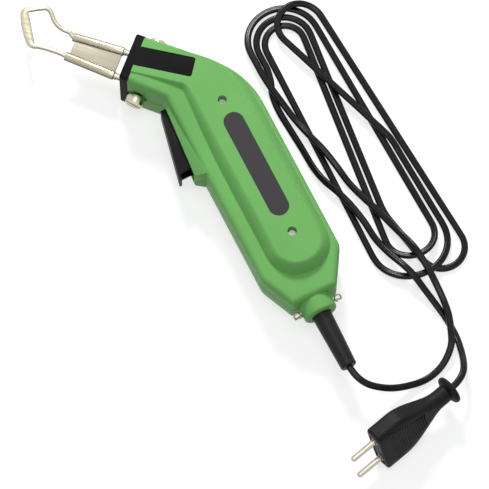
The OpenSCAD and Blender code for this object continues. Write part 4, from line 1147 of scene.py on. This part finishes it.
class HOTKNIFE_OT_cord(bpy.types.Operator):
    """Lays the flat two-core mains cord in its loose loops, from the strain relief to the plug"""
    bl_idname = "hotknife.cord"
    bl_label = "Mains Cord"

    def execute(self, context):
        s = context.scene.hot_knife_cord
        path = cord_route(s.step / MM)
        core, sides = s.core / MM, 18
        off = s.width / MM / 2 - core
        section = []
        for a, b in circle(1, sides):
            r = off * abs(a) + math.sqrt(core**2 - (off * b) ** 2)
            section.append((r * a, r * b))
        run = run_lengths(path)
        twist = sum(size * np.sin(run / long + phase) for size, long, phase in CORD_WAVES)
        cord = swept("mains_cord", path, section, twist=twist * away_from_ends(run, CALM_ENDS))
        dress(cord, "cord_black", "housing", "cord_black", "cord_lead", "cord_hank", "cord_tail")
        return {"FINISHED"}


class HOTKNIFE_OT_relief(bpy.types.Operator):
    """Makes the tapered strain relief that comes out of the collar"""
    bl_idname = "hotknife.relief"
    bl_label = "Strain Relief"

    def execute(self, context):
        tip, hole_r, tip_r, root_r, flange_low, flange_high = RELIEF_TIP, 2.5, 5.4, 6.5, -91.4, -88.4
        taper = tip + 2.2
        profile = [(tip, hole_r), (tip, 4.3), (tip + 0.25, 4.9), (tip + 0.8, 5.3), (tip + 1.6, 5.42),
                   (taper, tip_r)]
        profile += [(x, lerp(tip_r, root_r, (x - taper) / (COLLAR_END - taper)))
                    for x in np.linspace(tip + 6, COLLAR_END, 8)]
        profile += [(flange_low, root_r), (flange_low, 8.5), (flange_high, 8.5), (flange_high, 0), (tip + 3, 0),
                    (tip + 3, hole_r)]
        sleeve = place(turned("relief_sleeve", profile), shift(0, COLLAR_Y, ZM))
        dress(sleeve, "relief_black", "housing", "black_plastic", "strain_relief")
        return {"FINISHED"}


def plug_section(x, half_w, half_t):
    """Half width, half thickness and squareness of the plug along its length."""
    return [lerp(first, last, smooth_step((x - start) / run))
            for (first, start, run), last in zip(PLUG_TAPER, (half_w, half_t, PLUG_SQUARE))]


def plug_ring(x, w, t, square):
    count, ring = 56, []
    for k in range(count):
        c, s = heading(360 * (k + 0.5) / count)
        r = (abs(c) ** square + abs(s) ** square) ** (-1 / square)
        ring.append((x, w * r * c, t * r * s))
    return ring


class HOTKNIFE_OT_plug(bpy.types.Operator):
    """Makes the flat two-pin plug with its cord flange, ribbed faces and contact pins"""
    bl_idname = "hotknife.plug"
    bl_label = "Plug"

    def execute(self, context):
        s = context.scene.hot_knife_plug
        half_w, half_t, long, r = s.width / MM / 2, s.thick / MM / 2, s.long / MM, s.pin / MM / 2
        rings = [plug_ring(x, *plug_section(x, half_w, half_t)) for x in STATIONS]
        w, t, q = plug_section(long, half_w, half_t)
        edge = (1.2, 0.05), (0.6, 0.3), (0.2, 0.8), (0, 1.5)
        rings += [plug_ring(long - d, w - e, t - e, q) for d, e in edge]
        rings += [plug_ring(long, 14.2, 5.0, 5.0), plug_ring(long - 0.5, 13.8, 4.6, 5.0)]
        body = lofted("body", rings, 40)
        flange = lofted("flange", [[(x, y, z) for y, z in circle(radius, 40)] for x, radius in FLANGE], 50)
        ribs = grown("ribs", "plug_black", {
            "Count": s.ribs, "First": RIB_FIRST * MM, "Last": RIB_LAST * MM, "Short": RIB_SHORT * MM,
            "Long": RIB_LONG * MM, "Rib Radius": RIB_R * MM, "Face Height": (half_t - 0.25) * MM}, rib_rows)
        grip = join("plug_grip", [body, flange, ribs])
        clean(grip, 40, outward=False)
        place(grip, in_plug())
        dress(grip, "plug_black", "housing", "black_plastic", "plug_body")
        tip, root, collar, collar_r = long + PIN_LONG, long - 1.5, long - 0.1, r + 0.5
        profile = [(root, 0), (root, collar_r), (collar, collar_r), (collar, r), (tip - 1.4, r),
                   (tip - 0.5, r * 0.78), (tip - 0.05, r * 0.4), (tip, 0)]
        pins = [place(turned("pin", profile, 32), shift(0, side * PIN_V)) for side in (-1, 1)]
        prongs = join("plug_prongs", pins)
        clean(prongs, outward=False)
        place(prongs, in_plug())
        dress(prongs, "pin_nickel", "housing", "steel", "plug_pins")
        return {"FINISHED"}


class HOTKNIFE_OT_clip(bpy.types.Operator):
    """Bends the spring wire clip round the collar, with a looped ear on each side"""
    bl_idname = "hotknife.clip"
    bl_label = "Wire Clip"

    def execute(self, context):
        r, x, ear, ear_back, ear_up = COLLAR_R + 0.1 + CLIP_R, -98.5, 2.2, 0.75, 0.66
        out = r + ear + CLIP_R / 2

        def loop(side, angles):
            return [(x + ear * s * ear_back, COLLAR_Y + side * (out + ear * c), ZM + ear * s * ear_up)
                    for c, s in map(heading, angles)]

        turns = np.linspace(250, -40, 15)
        arc = [(x, COLLAR_Y + r * c, ZM + r * s) for c, s in map(heading, np.linspace(-8, -172, 25))]
        path = catmull([*loop(1, turns), *arc, *loop(-1, turns[::-1])], 0.5)
        wire = swept("wire_clip", path, circle(CLIP_R, 10), up=(0.9, 0.1, 0.42))
        dress(wire, "clip_wire", "housing", "steel", "rear_clip")
        return {"FINISHED"}


class HOTKNIFE_OT_inside(bpy.types.Operator):
    """Finishes the carried-over pieces: label, switch, transformer, bars, leads and cord anchor"""
    bl_idname = "hotknife.inside"
    bl_label = "Label and Inner Pieces"

    def execute(self, context):
        for node, finish in INNER_FINISHES.items():
            paint(node, finish)
        return {"FINISHED"}


# Stage
def lamp(name, at, size, watts):
    """Round soft lamp, aimed at the middle of the floor."""
    data = bpy.data.lights.new(name, "AREA")
    data.shape, data.size, data.energy = "DISK", size, watts
    obj = shown(name, data)
    obj.location = at
    obj.rotation_euler = (-Vector(at)).to_track_quat("-Z", "Y").to_euler()


def seen_rays(tree):
    """One where a ray comes from the camera, a mirror-like surface or glass."""
    path = add(tree, "ShaderNodeLightPath").outputs
    total = maths(tree, "MAXIMUM", path["Is Camera Ray"], path["Is Glossy Ray"])
    return maths(tree, "MAXIMUM", total, path["Is Transmission Ray"])


class HOTKNIFE_OT_stage(bpy.types.Operator):
    """Sets the camera at the photograph's angle, the pale floor, the soft lamps and the white surround"""
    bl_idname = "hotknife.stage"
    bl_label = "Stage"

    def execute(self, context):
        scene = context.scene
        scene.view_settings.view_transform = "Standard"
        data = bpy.data.cameras.new("view")
        data.lens, data.sensor_width, data.clip_start, data.clip_end = 340.0, 36.0, 0.1, 20.0
        scene.camera = shown("view", data)
        eye, aim, up = map(Vector, ((-0.9514, 0.4777, 2.8191), (-0.0323, 0.0215, 0.0), (0.896, -0.445, 0)))
        back = (eye - aim).normalized()
        right = up.cross(back).normalized()
        turn = Matrix((right, back.cross(right), back)).transposed()
        scene.camera.matrix_world = Matrix.Translation(eye) @ turn.to_4x4()

        scene.world = bpy.data.worlds.new("surround")
        scene.world.use_nodes = True
        tree = scene.world.node_tree
        tree.nodes.clear()
        soft, white = (add(tree, "ShaderNodeBackground", {"Color": tone, "Strength": strength})
                       for tone, strength in (((0.96, 0.98, 1.0, 1), 0.27), ((1, 1, 1, 1), 1.0)))
        mix = add(tree, "ShaderNodeMixShader", {"Fac": seen_rays(tree), 1: soft, 2: white})
        add(tree, "ShaderNodeOutputWorld", {"Surface": mix})

        reach, drop_mm, glow = 3000, -0.05, 0.68
        corners = (-reach, -reach), (reach, -reach), (reach, reach), (-reach, reach)
        floor = new_mesh("floor", level(corners, drop_mm), [range(4)])
        tree, surface = new_finish("pale_floor")
        feed(tree, surface, {"Base Color": (0.5, 0.5, 0.5, 1), "Roughness": 0.9, "Specular IOR Level": 0.1,
                             "Emission Color": (1, 1, 1, 1),
                             "Emission Strength": maths(tree, "MULTIPLY", seen_rays(tree), glow)})
        floor.data.materials.append(FINISHES["pale_floor"])

        lamp("key", (1.35, -0.42, 1.3), 0.45, 22.5)
        lamp("fill", (-0.9, 1.2, 1.9), 1.2, 0.8)
        lamp("top", (-0.2, 0.1, 2.4), 1.4, 14.0)
        return {"FINISHED"}


class HOTKNIFE_PT_pieces(bpy.types.Panel):
    bl_label = "Hot Knife"
    bl_idname = "HOTKNIFE_PT_pieces"
    bl_space_type = "VIEW_3D"
    bl_region_type = "UI"
    bl_category = "Hot Knife"

    def draw(self, context):
        for op in OPERATORS:
            self.layout.operator(op.bl_idname)
        for name in SETTINGS:
            group = getattr(context.scene, name)
            for key in group.__annotations__:
                self.layout.prop(group, key)


OPERATORS = (HOTKNIFE_OT_stage, HOTKNIFE_OT_plug, HOTKNIFE_OT_relief, HOTKNIFE_OT_cord, HOTKNIFE_OT_casing,
             HOTKNIFE_OT_nose, HOTKNIFE_OT_trigger, HOTKNIFE_OT_screws, HOTKNIFE_OT_cartridge, HOTKNIFE_OT_clip,
             HOTKNIFE_OT_inside)
CLASSES = (*SETTINGS.values(), *OPERATORS, HOTKNIFE_PT_pieces)


def register():
    for cls in CLASSES:
        bpy.utils.register_class(cls)
    for name, cls in SETTINGS.items():
        setattr(bpy.types.Scene, name, bpy.props.PointerProperty(type=cls))


def unregister():
    for name in SETTINGS:
        delattr(bpy.types.Scene, name)
    for cls in reversed(CLASSES):
        bpy.utils.unregister_class(cls)


def main():
    register()
    for op in OPERATORS:
        getattr(bpy.ops.hotknife, op.bl_idname.split(".")[1])()


if __name__ == "__main__":
    main()
